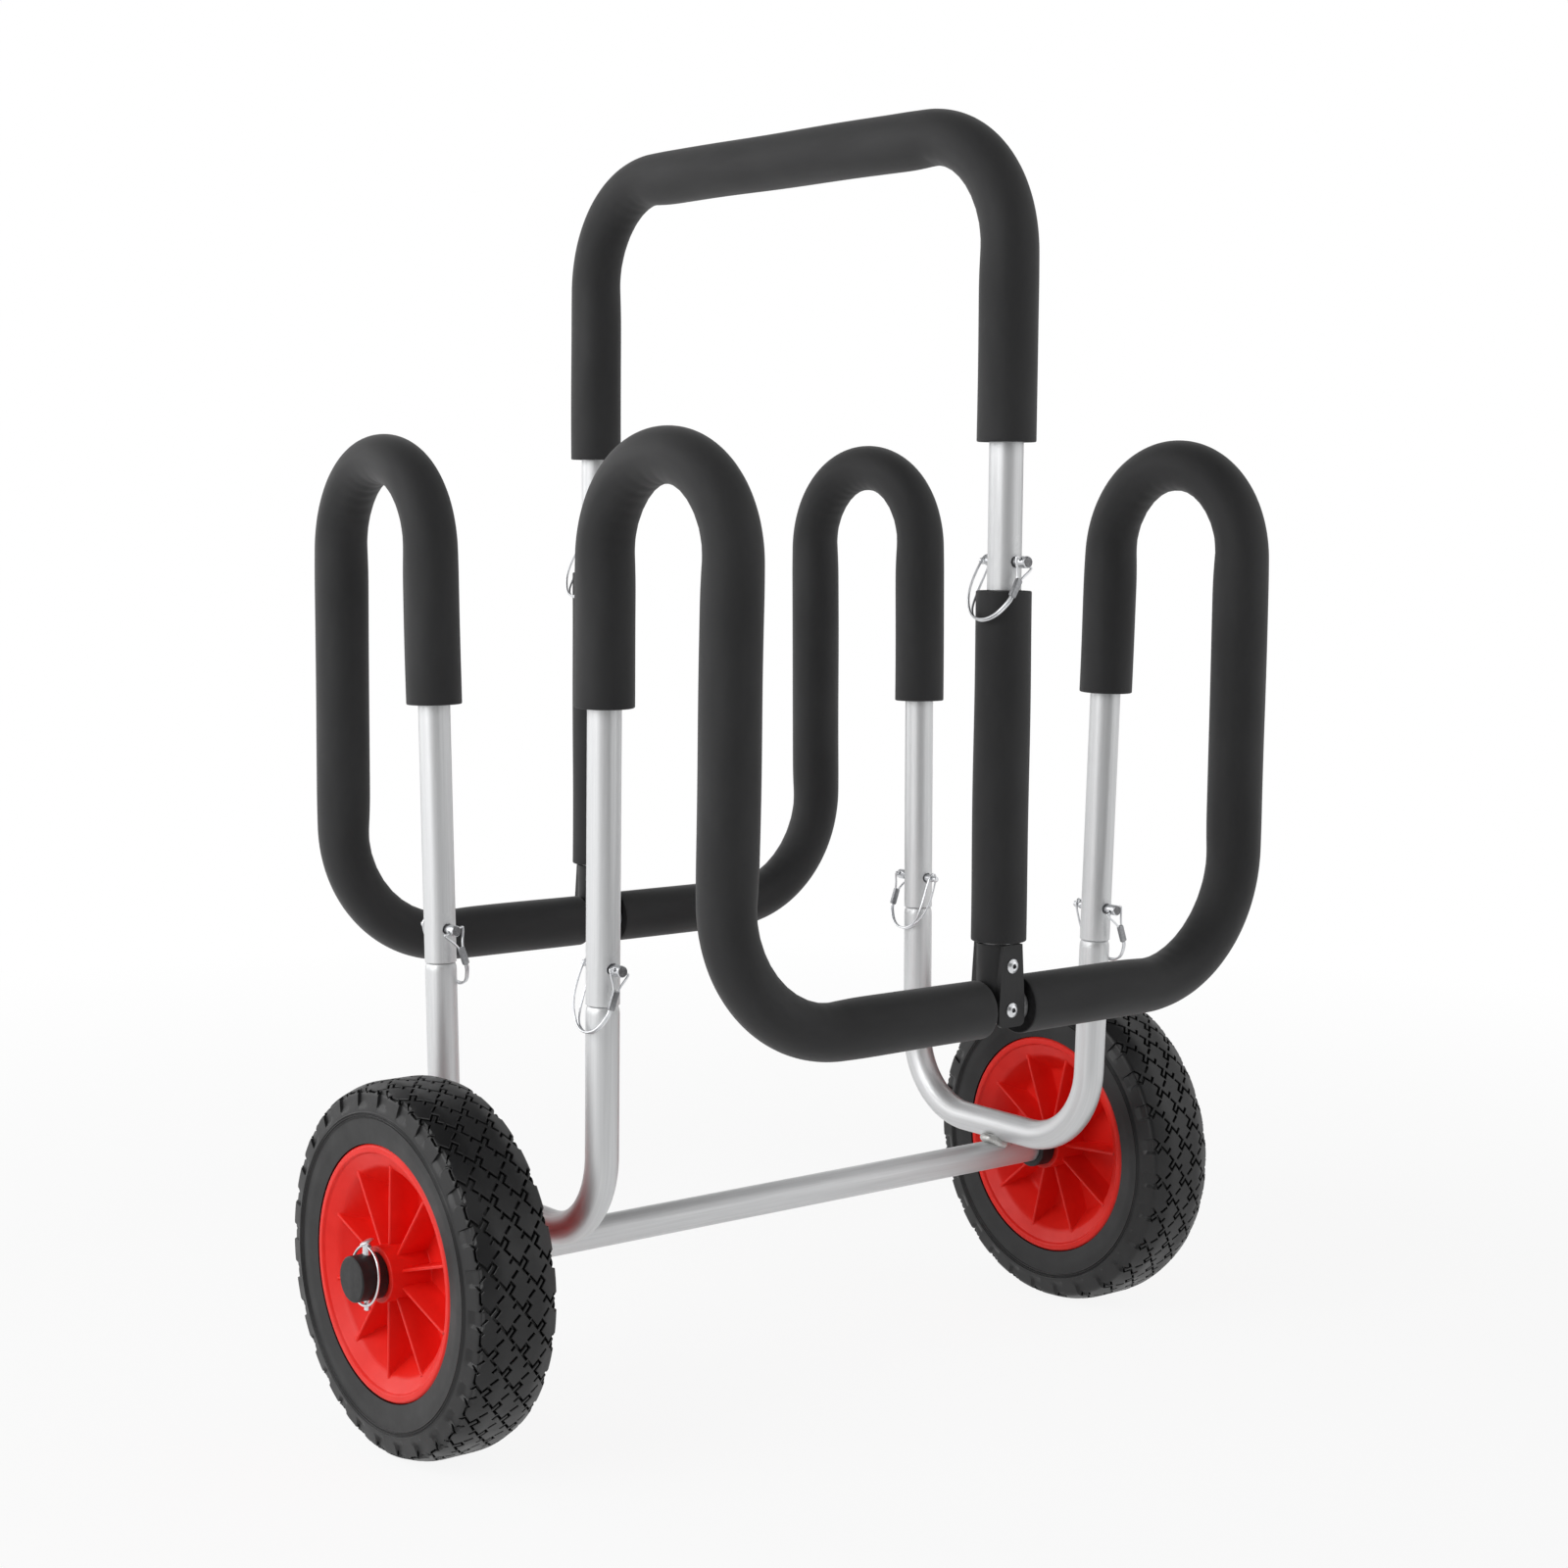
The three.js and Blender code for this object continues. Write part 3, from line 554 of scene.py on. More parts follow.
def wire(points: Grid, radius: float, sides: int = 10, closed: bool = False) -> Patch:
    """Carries a circle along a line of close points, with rounded ends where the line is open.

    Each cross direction is the last one made square to the new direction, so the circle doesn't twist.

    Args:
        points: the line's points.
        radius: the wire's radius.
        sides: points round the wire.
        closed: whether the line closes on itself.

    Returns:
        The surface as a patch.
    """
    if closed:
        tangents = unit(np.roll(points, -1, axis=0) - np.roll(points, 1, axis=0))
    else:
        tangents = unit(np.gradient(points, axis=0))
    first = np.array([0.0, 0.0, 1.0]) if abs(tangents[0][2]) < 0.8 else np.array([1.0, 0.0, 0.0])
    normals = np.zeros_like(points)
    for i, tangent in enumerate(tangents):
        first = unit(first - tangent * np.dot(first, tangent))
        normals[i] = first
    binormals = np.cross(tangents, normals)
    steps = np.linalg.norm(np.diff(points, axis=0), axis=1)
    lengths = np.concatenate([[0.0], np.cumsum(steps)])
    radii = np.full(len(points), radius)
    if not closed:
        shares = np.array([0.0, 0.6, 0.9])
        shrink = radius * np.sqrt(1.0 - (1.0 - shares) ** 2)
        ends = [points[0] + tangents[0] * radius * share for share in shares]
        tips = [points[-1] - tangents[-1] * radius * share for share in shares[::-1]]
        points = np.concatenate([ends, points[1:-1], tips])
        last = len(lengths) - 1
        spread = np.array([0] * len(shares) + list(range(1, last)) + [last] * len(shares))
        lengths, normals, binormals = lengths[spread], normals[spread], binormals[spread]
        radii = np.concatenate([shrink, radii[1:-1], shrink[::-1]])
    angles = turns(sides)
    grid = points[:, None] + radii[:, None, None] * ways_round(normals, binormals, angles)
    return Patch(grid, laid_straight(radii[:, None], angles, lengths), closed)


def smoothed(points: Grid, rounds: int = 3, closed: bool = False) -> Grid:
    """Cuts the corners of a line again and again, a quarter of the way along each edge.

    Args:
        points: the line's points.
        rounds: how many times the corners are cut.
        closed: whether the line closes on itself.

    Returns:
        The smooth line's points.
    """
    for _ in range(rounds):
        onward = np.roll(points, -1, axis=0) if closed else points[1:]
        start = points if closed else points[:-1]
        near, far = start * 0.75 + onward * 0.25, start * 0.25 + onward * 0.75
        cut = np.stack([near, far], axis=1).reshape(-1, points.shape[1])
        points = cut if closed else np.concatenate([points[:1], cut[1:-1], points[-1:]])
    return points


# Pieces


def put(name: str, data: bpy.types.ID) -> bpy.types.Object:
    """Makes an object of the scene.

    Args:
        name: the object's name.
        data: the mesh, lamp or camera that it carries.

    Returns:
        The object.
    """
    made = bpy.data.objects.new(name, data)
    bpy.context.scene.collection.objects.link(made)
    return made


@dataclass
class Piece:
    """One object of the dressed cart: its patches, finish, body and the CAD nodes it stands for."""

    name: str
    finish: Finish
    patches: list[Patch]
    body: str = "cart"
    nodes: tuple[str, ...] = ()
    crease: float = 35.0
    bevel: float = 0.0
    cutters: list[bpy.types.Object] = field(default_factory=list)
    placing: Matrix = field(default_factory=lambda: Matrix.Identity(4))

    def mesh(self) -> bpy.types.Mesh:
        """Joins the patches in one mesh in metres, welds seams and poles, and points its faces outwards.

        Returns:
            The mesh, with the straightened place of each point in an attribute.
        """
        points = np.concatenate([patch.points.reshape(-1, 3) for patch in self.patches])
        lies = np.concatenate([
            (patch.points if patch.lie is None else patch.lie).reshape(-1, 3) for patch in self.patches
        ])
        offsets = np.cumsum([0] + [patch.points.shape[0] * patch.points.shape[1] for patch in self.patches])
        faces = np.concatenate([patch.faces(int(offset)) for patch, offset in zip(self.patches, offsets)])
        return mesh_from(self.name, points, faces, lies)

    def build(self) -> bpy.types.Object:
        """Makes the object, cuts its holes, bevels it, dresses it and ties it to the frame.

        Returns:
            The finished object.
        """
        mesh = self.mesh()
        mesh.transform(self.placing)
        piece = put(self.name, mesh)
        if self.cutters:
            carve(piece, self.cutters, Shaping.CUT)
        return self.dress(piece)

    def dress(self, piece: bpy.types.Object) -> bpy.types.Object:
        """Bevels, shades and dresses a shaped object, and ties it to the frame.

        Args:
            piece: the object.

        Returns:
            The same object.
        """
        if self.bevel > 0.0:
            bevel(piece, self.bevel)
        piece.data.materials.clear()
        piece.data.materials.append(self.finish.material())
        piece.data.shade_smooth()
        piece.data.set_sharp_from_angle(angle=math.radians(self.crease))
        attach(piece, self.body)
        if self.nodes:
            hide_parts(*self.nodes)
        LOG.info("%s: %d faces, %s, on %s", piece.name, len(piece.data.polygons), self.finish.name, self.body)
        return piece


def mesh_from(name: str, points: Grid, faces: Grid, lies: Grid) -> bpy.types.Mesh:
    """Makes a mesh in metres from millimetre arrays, welds doubles and points the faces outwards.

    Args:
        name: the mesh's name.
        points: places in millimetres.
        faces: four corner numbers to a face.
        lies: the straightened place of each point, in millimetres.

    Returns:
        The mesh.
    """
    mesh = bpy.data.meshes.new(name)
    mesh.vertices.add(len(points))
    mesh.vertices.foreach_set("co", (points * MM).astype(np.float32).ravel())
    mesh.loops.add(faces.size)
    mesh.loops.foreach_set("vertex_index", faces.astype(np.int32).ravel())
    mesh.polygons.add(len(faces))
    mesh.polygons.foreach_set("loop_start", np.arange(0, faces.size, 4, dtype=np.int32))
    mesh.update(calc_edges=True)
    attribute = mesh.attributes.new(LIE, "FLOAT_VECTOR", "POINT")
    attribute.data.foreach_set("vector", (lies * MM).astype(np.float32).ravel())
    work = bmesh.new()
    work.from_mesh(mesh)
    bmesh.ops.remove_doubles(work, verts=work.verts, dist=1e-6)
    bmesh.ops.dissolve_degenerate(work, edges=work.edges, dist=1e-7)
    bmesh.ops.recalc_face_normals(work, faces=work.faces)
    work.to_mesh(mesh)
    work.free()
    return mesh


def lie_on_itself(mesh: bpy.types.Mesh) -> None:
    """Sets the straightened place of each point to the point's own place."""
    places = np.empty(len(mesh.vertices) * 3, dtype=np.float32)
    mesh.vertices.foreach_get("co", places)
    attribute = mesh.attributes.get(LIE) or mesh.attributes.new(LIE, "FLOAT_VECTOR", "POINT")
    attribute.data.foreach_set("vector", places)


def applied(piece: bpy.types.Object) -> None:
    """Turns the piece's live modifiers into its mesh."""
    graph = bpy.context.evaluated_depsgraph_get()
    shaped = bpy.data.meshes.new_from_object(piece.evaluated_get(graph))
    piece.modifiers.clear()
    old, piece.data = piece.data, shaped
    bpy.data.meshes.remove(old)


def carve(piece: bpy.types.Object, tools: Sequence[bpy.types.Object], shaping: Shaping,
          solver: Solver = Solver.EXACT) -> None:
    """Joins or cuts an object with others, which are used up.

    Args:
        piece: the object to change.
        tools: the objects that join or cut it.
        shaping: whether they join or cut it.
        solver: how it is worked out.
    """
    for tool in tools:
        modifier = piece.modifiers.new("shape", "BOOLEAN")
        modifier.operation = shaping.value
        modifier.solver = solver.value
        modifier.object = tool
    applied(piece)
    for tool in tools:
        bpy.data.objects.remove(tool)


def bevel(piece: bpy.types.Object, width: float, segments: int = 2, sharp: float = 40.0) -> None:
    """Rounds the edges sharper than sharp degrees by width millimetres, and applies it."""
    modifier = piece.modifiers.new("edges", "BEVEL")
    modifier.width = width * MM
    modifier.segments = segments
    modifier.limit_method = "ANGLE"
    modifier.angle_limit = math.radians(sharp)
    applied(piece)


def face_values(piece: bpy.types.Object, key: str) -> Grid:
    """Reads one vector for each face of a piece.

    Args:
        piece: the object.
        key: center or normal.

    Returns:
        The vectors, one row to a face.
    """
    values = np.empty(len(piece.data.polygons) * 3)
    piece.data.polygons.foreach_get(key, values)
    return values.reshape(-1, 3)


def second_finish(piece: bpy.types.Object, finish: Finish, chosen: Grid) -> None:
    """Gives the chosen faces of the piece another finish."""
    piece.data.materials.append(finish.material())
    piece.data.polygons.foreach_set("material_index", chosen.astype(np.int32))


def tool_rod(start: Sequence[float], end: Sequence[float], radius: float, sides: int = 40) -> bpy.types.Object:
    """A plain closed rod for joining or cutting.

    Args:
        start: the middle of one end.
        end: the middle of the other.
        radius: its radius.
        sides: points round it.

    Returns:
        The rod as an object.
    """
    route = straight(start, end, (0.3, 0.5, 0.8))
    outline = np.array([[0.0, 0.0], [0.0, radius], [route.length, radius], [route.length, 0.0]])
    patch = swept(route, outline, sides)
    return put("tool", Piece("tool", ANODISED, [patch]).mesh())


def hole(place: Grid, reach: Sequence[float], radius: float, sides: int = 40) -> bpy.types.Object:
    """Makes a cutter that goes through a place.

    Args:
        place: the middle of the hole.
        reach: how far it goes, both ways.
        radius: its radius.
        sides: points round it.

    Returns:
        The cutter.
    """
    return tool_rod(place - np.array(reach), place + np.array(reach), radius, sides)


# Sizes that several sub-assemblies share


@dataclass(frozen=True)
class Cart:
    """Sizes and main lines that several sub-assemblies share, the same as in the cart's CAD."""

    tube: float = 11.1
    bore: float = 9.6
    neck: float = 9.25
    foam: float = 19.3
    post_foam: float = 18.2
    seat_gap: float = 0.3
    axle_height: float = 125.0
    arm_foot: tuple[float, float, float] = (221.0, 96.0, 147.5)
    arm_head: tuple[float, float, float] = (226.0, 107.5, 657.0)
    rack_joint: float = 307.0
    rack_pin: float = 331.5
    crossbar_y: float = 232.0
    crossbar_height: float = 301.0
    handle_joint: float = 574.0
    handle_pin: float = 592.5
    upper_rivet: float = 330.0
    wheel_pin_x: float = 339.8
    pin_hole: float = 3.5
    pin_play: float = 0.6
    rivet_hole: float = 2.6

    def arm(self, side: Side, end: End, height: float) -> Grid:
        """The place at a height on the splayed line of an arm and its upright."""
        foot, head = np.array(self.arm_foot), np.array(self.arm_head)
        place = foot + (head - foot) * (height - foot[2]) / (head[2] - foot[2])
        return place * np.array([side.value, end.value, 1.0])

    def post(self, end: End, height: float) -> Grid:
        """The place at a height on the middle line of the front or rear post."""
        return np.array([0.0, end.value * self.crossbar_y, height])

    def hole_along_y(self, place: Grid, radius: float) -> bpy.types.Object:
        """A cutter through a tube, along Y."""
        return hole(place, (0.0, self.tube + OVERCUT, 0.0), radius)


CART = Cart()


# Tubes


@dataclass
class Tubes:
    """Every metal tube of the cart: the axle, two U-frames, two racks, two posts and the handle."""

    cart: Cart = CART
    sides: int = 48
    lip: float = 0.35
    axle_half: float = 349.0
    arm_bend: float = 61.0
    shoulder: float = 5.8
    neck_length: float = 62.0
    hump_height: float = 657.0
    hump_radius: float = 63.9
    leg_head: tuple[float, float] = (222.5, 235.3)
    leg_foot_x: float = 224.5
    crossbar_bend: float = 88.5
    post_foot: float = 315.3
    handle_top: float = 868.0
    handle_bend: float = 79.0
    weld_reach: tuple[float, float] = (12.4, 8.6)
    weld_radius: float = 3.1
    weld_clip: float = 9.5
    weld_steps: int = 96
    weld_ripple: tuple[float, float] = (0.12, 8.5)
    weld_swell: tuple[float, float, float] = (0.1, 2.0, 0.6)

    def tube_patch(self, route: Route, necks: tuple[bool, bool] = (False, False)) -> Patch:
        """A hollow tube's closed surface along a route, outside and then inside, with edges just broken.

        Where the tube has a neck, a quarter ellipse draws its outside in over the shoulder, and the neck goes on
        straight past the route's end.

        Args:
            route: the tube's middle line.
            necks: whether the start and the end carry a neck.

        Returns:
            The surface as a patch.
        """
        cart, wall = self.cart, self.cart.tube - self.cart.bore
        share = np.linspace(0.0, 1.0, 9)[:, None]
        swage = np.hstack([
            self.shoulder * (1.0 - np.cos(share * math.pi / 2.0)),
            cart.neck + (cart.tube - cart.neck) * np.sin(share * math.pi / 2.0),
        ])
        plain = np.array([[0.0, cart.tube - self.lip], [self.lip, cart.tube]])
        tip = np.array([[-self.neck_length, cart.neck - wall], [-self.neck_length, cart.neck - self.lip],
                        [-self.neck_length + self.lip, cart.neck]])
        inner_plain = np.array([[0.0, cart.bore]])
        inner_neck = np.array([[2.0 * self.shoulder, cart.bore], [0.0, cart.neck - wall]])
        starts, ends, inners = [], [], []
        for has_neck in necks:
            starts.append(np.vstack([tip, swage]) if has_neck else plain)
            inners.append(inner_neck if has_neck else inner_plain)
        outer_end = starts[1][::-1] * np.array([-1.0, 1.0]) + np.array([route.length, 0.0])
        inner_end = inners[1] * np.array([-1.0, 1.0]) + np.array([route.length, 0.0])
        outer = self.middle_rows(route, starts[0][-1, 0], outer_end[0, 0], cart.tube)
        inner = self.middle_rows(route, inners[0][0, 0], inner_end[0, 0], cart.bore)[::-1]
        rows = np.vstack([starts[0], outer, outer_end, inner_end[::-1], inner, inners[0]])
        return swept(route, rows, self.sides, closed=True)

    @staticmethod
    def middle_rows(route: Route, first: float, last: float, radius: float) -> Grid:
        """Rows of one radius between two lengths, without the two end rows."""
        lengths = route.lengths_between(first, last)[1:-1]
        return np.column_stack([lengths, np.full(len(lengths), radius)])

    def axle(self) -> None:
        """The axle tube, with a pin hole up and down through each end."""
        cart = self.cart
        left, right = ((side.value * self.axle_half, 0.0, cart.axle_height) for side in Side)
        route = straight(left, right, (0, 0, 1))
        holes = [
            hole(np.array([side.value * cart.wheel_pin_x, 0.0, cart.axle_height]),
                 (0.0, 0.0, cart.tube + OVERCUT), cart.pin_hole)
            for side in Side
        ]
        Piece("axle", ANODISED, [self.tube_patch(route)], nodes=("axle_tube",), cutters=holes).build()

    def frame_u(self, side: Side) -> None:
        """One U-frame: down an arm, across the axle and up the other arm, with a neck on each."""
        cart = self.cart
        heights = ((End.FRONT, cart.rack_joint), (End.FRONT, cart.arm_foot[2]), (End.REAR, cart.arm_foot[2]),
                   (End.REAR, cart.rack_joint))
        route = Route([cart.arm(side, end, height) for end, height in heights], (self.arm_bend,) * 2)
        holes = [cart.hole_along_y(cart.arm(side, end, cart.rack_pin), cart.pin_hole) for end in End]
        Piece(f"u_frame_{side.word}", ANODISED, [self.tube_patch(route, (True, True))],
              nodes=(f"frame_u_{side.word}",), cutters=holes).build()

    def rack_route(self, end: End) -> Route:
        """The rack's middle line: up an arm, over the hump, down the leg, along the crossbar and mirrored back."""
        cart = self.cart

        def half(side: Side) -> list[Grid]:
            """The four corners on one side."""
            head, foot = self.leg_head, self.leg_foot_x
            return [
                cart.arm(side, end, cart.rack_joint + cart.seat_gap), cart.arm(side, end, self.hump_height),
                np.array([side.value * head[0], end.value * head[1], self.hump_height]),
                np.array([side.value * foot, end.value * cart.crossbar_y, cart.crossbar_height]),
            ]

        radii = (self.hump_radius, self.hump_radius, self.crossbar_bend)
        return Route(half(Side.LEFT) + half(Side.RIGHT)[::-1], radii + radii[::-1])

    def rack(self, end: End) -> None:
        """One rack tube with its two pin holes and its rivet hole."""
        cart = self.cart
        holes = [cart.hole_along_y(cart.arm(side, end, cart.rack_pin), cart.pin_hole + cart.pin_play)
                 for side in Side]
        holes.append(cart.hole_along_y(cart.post(end, cart.crossbar_height), cart.rivet_hole))
        Piece(f"rack_{end.word}", ANODISED, [self.tube_patch(self.rack_route(end))],
              nodes=(f"rack_tube_{end.word}",), cutters=holes).build()

    def post(self, end: End) -> None:
        """One post, with a neck that plugs into the handle."""
        cart = self.cart
        route = straight(cart.post(end, self.post_foot), cart.post(end, cart.handle_joint - cart.seat_gap))
        holes = [
            cart.hole_along_y(cart.post(end, cart.handle_pin), cart.pin_hole),
            cart.hole_along_y(cart.post(end, cart.upper_rivet), cart.rivet_hole),
        ]
        Piece(f"post_{end.word}", ANODISED, [self.tube_patch(route, (False, True))],
              nodes=(f"post_tube_{end.word}",), cutters=holes).build()

    def handle_route(self) -> Route:
        """The handle's middle line: up from the front post, over and down to the rear post."""
        cart = self.cart
        corners = [cart.post(End.FRONT, cart.handle_joint), cart.post(End.FRONT, self.handle_top),
                   cart.post(End.REAR, self.handle_top), cart.post(End.REAR, cart.handle_joint)]
        return Route(corners, (self.handle_bend,) * 2)

    def handle(self) -> None:
        """The handle tube with a pin hole near each end."""
        cart = self.cart
        holes = [cart.hole_along_y(cart.post(end, cart.handle_pin), cart.pin_hole + cart.pin_play) for end in End]
        Piece("handle", ANODISED, [self.tube_patch(self.handle_route())], nodes=("handle_tube",),
              cutters=holes).build()

    def weld(self, side: Side) -> None:
        """A rippled bead in the crevice where a U-frame crosses the axle.

        The bead's middle line is an oval about the crossing seen from above, longer along the axle, at half height
        between the two tubes. Above its middle the axle's top is at sqrt(r2 - y2), and below its own middle the
        U-frame's underside is at sqrt(r2 - x2).
        """
        cart = self.cart
        angle = np.linspace(0.0, FULL_TURN, self.weld_steps + 1)[:-1]
        x, y = self.weld_reach[0] * np.cos(angle), self.weld_reach[1] * np.sin(angle)
        radius2, clip = cart.tube ** 2, self.weld_clip
        low = cart.axle_height + np.sqrt(radius2 - y ** 2)
        high = cart.arm_foot[2] - np.sqrt(radius2 - np.clip(x, -clip, clip) ** 2)
        line = np.column_stack([x + side.value * cart.arm_foot[0], y, (low + high) / 2.0])
        bead = wire(line, self.weld_radius, 20, closed=True)
        (ripple, count), (swell, waves, shift) = self.weld_ripple, self.weld_swell
        lumps = 1.0 + ripple * np.abs(np.sin(angle * count)) + swell * np.sin(angle * waves + shift)
        bead.points = line[:, None] + (bead.points - line[:, None]) * lumps[:, None, None]
        Piece(f"weld_bead_{side.word}", FILLER, [bead], nodes=(f"weld_{side.word}",)).build()

    def build(self) -> None:
        """Makes every tube."""
        self.axle()
        for side in Side:
            self.frame_u(side)
            self.weld(side)
        for end in End:
            self.rack(end)
            self.post(end)
        self.handle()


# Foam


@dataclass
class Sleeves:
    """The foam sleeves: four on the racks, two on the posts and one on the handle."""

    tubes: Tubes
    cart: Cart = CART
    sides: int = 56
    step: float = 3.0
    edge: float = 1.1
    crossbar_gap: float = 34.0
    ends: tuple[tuple[End, Side, float], ...] = (
        (End.FRONT, Side.LEFT, 499.0), (End.REAR, Side.LEFT, 488.0),
        (End.FRONT, Side.RIGHT, 492.0), (End.REAR, Side.RIGHT, 473.0),
    )
    post_foam_foot: float = 345.5
    grip_front: float = 669.0
    grip_rear: float = 661.0
    wrinkle: float = 0.5
    inner_squeeze: float = 2.3
    outer_stretch: float = 0.9
    wrinkle_pitch: float = 13.0
    wander: tuple[float, float] = (1.7, 31.0)
    curl_window: int = 21
    swell: float = 0.16
    swell_runs: tuple[float, float, float] = (23.0, 41.0, 90.0)
    fill: float = 0.95
    cut_reach: float = 25.0
    cut_facing: float = 0.95

    def warp(self, phase: float) -> Warp:
        """Makes the foam's own change of radius.

        In a bend the inner side is squeezed thin, with shallow wrinkles across it, and the outer side is stretched
        a little thinner. The bend's pull is faded in and out over curl_window rows, so it has no kink. Everywhere
        the surface swells and dips by a few tenths. wander is how far the wrinkles' spacing strays, and over
        what length.

        Args:
            phase: a number that sets the sleeve apart from the others.

        Returns:
            The function that swept takes.
        """

        def change(stations: Stations, angles: Grid, radii: Grid) -> Grid:
            """Adds the wrinkles and swells to the outside only, and fades them out at the cut ends."""
            around = ways_round(stations.normals, stations.binormals, angles)
            bell = np.hanning(self.curl_window)
            window = bell[1:-1] / bell.sum()
            pad = len(window) // 2
            curl = np.pad(stations.inward * stations.bend[:, None], ((pad, pad), (0, 0)), mode="edge")
            curl = np.column_stack([np.convolve(curl[:, k], window, mode="valid") for k in range(3)])
            push = np.sum(around * curl[:, None], axis=-1) * self.tubes.hump_radius
            length = stations.lengths[:, None]
            (stray, stray_run), (run, twist_run, turn_run) = self.wander, self.swell_runs
            wave = np.sin(length * FULL_TURN / self.wrinkle_pitch + stray * np.sin(length / stray_run + phase)
                          + 0.5 * np.sin(angles[None] * 2.0 + phase))
            wrinkles = -self.wrinkle * np.clip(wave, -0.2, 1.0) ** 2 * np.clip(push, 0.0, 1.0) ** 2
            stretch = -np.where(push > 0.0, self.inner_squeeze, self.outer_stretch) * np.abs(push)
            swell = self.swell * (
                np.sin(length / run + phase) * np.cos(angles[None] + phase)
                + np.sin(length / twist_run - phase) * np.cos(2.0 * angles[None] + length / turn_run)
            )
            outside = np.clip((radii - self.cart.tube - 2.0) / 4.0, 0.0, 1.0)
            return radii + (wrinkles + stretch + swell) * outside

        return change

    def sleeve(self, name: str, node: str, route: Route, span: tuple[float, float], radius: float,
               phase: float) -> None:
        """One sleeve between two lengths of a route, with softly broken edges and flat cut ends.

        Args:
            name: the piece's name.
            node: the CAD node it stands for.
            route: the tube's middle line.
            span: the lengths of its two cut ends.
            radius: its outer radius.
            phase: what sets its wrinkles apart.
        """
        first, last = span
        bore = self.cart.tube + self.cart.seat_gap
        bow = rounded([(0.0, bore, 0.0), (0.0, radius, self.edge), (4.0, radius, 0.0)], steps=4)
        start = bow + np.array([first, 0.0])
        end = bow[::-1] * np.array([-1.0, 1.0]) + np.array([last, 0.0])
        middle = np.arange(first + 4.0 + self.step, last - 4.0 - self.step / 2.0, self.step)
        inner = route.lengths_between(first, last, 6.0)[::-1][1:-1]
        rows = np.vstack([
            start, np.column_stack([middle, np.full(len(middle), radius)]), end,
            np.column_stack([inner, np.full(len(inner), bore)]),
        ])
        patch = swept(route, rows, self.sides, closed=True, warp=self.warp(phase))
        piece = Piece(name, FOAM, [patch], nodes=(node,), crease=50.0).build()
        self.cut_faces(piece, route, span)

    def cut_faces(self, piece: bpy.types.Object, route: Route, span: tuple[float, float]) -> None:
        """Gives the flat cut ends their own darker foam: faces that look along the route near an end.

        Args:
            piece: the sleeve.
            route: the tube's middle line.
            span: the lengths of the two cut ends.
        """
        centres, normals = face_values(piece, "center") / MM, face_values(piece, "normal")
        stations = route.at(np.array(span))
        cut = np.zeros(len(centres), dtype=bool)
        for point, tangent in zip(stations.points, stations.tangents):
            near = np.linalg.norm(centres - point, axis=1) < self.cut_reach
            cut |= near & (np.abs(normals @ tangent) > self.cut_facing)
        second_finish(piece, CUT_FOAM, cut)

    def build(self) -> None:
        """Makes every sleeve."""
        cart, tubes = self.cart, self.tubes
        for end, side, height in self.ends:
            route = tubes.rack_route(end)
            arm = cart.arm(side, end, tubes.hump_height) - cart.arm(side, end, cart.rack_joint)
            rise = float(unit(arm)[2])
            bare = (height - cart.rack_joint - cart.seat_gap) / rise
            middle, gap = route.length / 2.0, self.crossbar_gap / 2.0
            span = (bare, middle - gap) if side is Side.LEFT else (middle + gap, route.length - bare)
            key = f"{end.word}_{side.word}"
            self.sleeve(f"rack_sleeve_{key}", f"rack_foam_{key}", route, span, cart.foam, height)
        for end in End:
            top = cart.handle_joint - cart.seat_gap
            route = straight(cart.post(end, self.post_foam_foot), cart.post(end, top))
            self.sleeve(f"post_sleeve_{end.word}", f"post_foam_{end.word}", route, (0.0, route.length),
                        cart.post_foam, 2.0 + end.value)
        route = tubes.handle_route()
        span = (self.grip_front - cart.handle_joint, route.length - self.grip_rear + cart.handle_joint)
        self.sleeve("handle_grip", "handle_foam", route, span, cart.foam, 5.0)


# Wheels


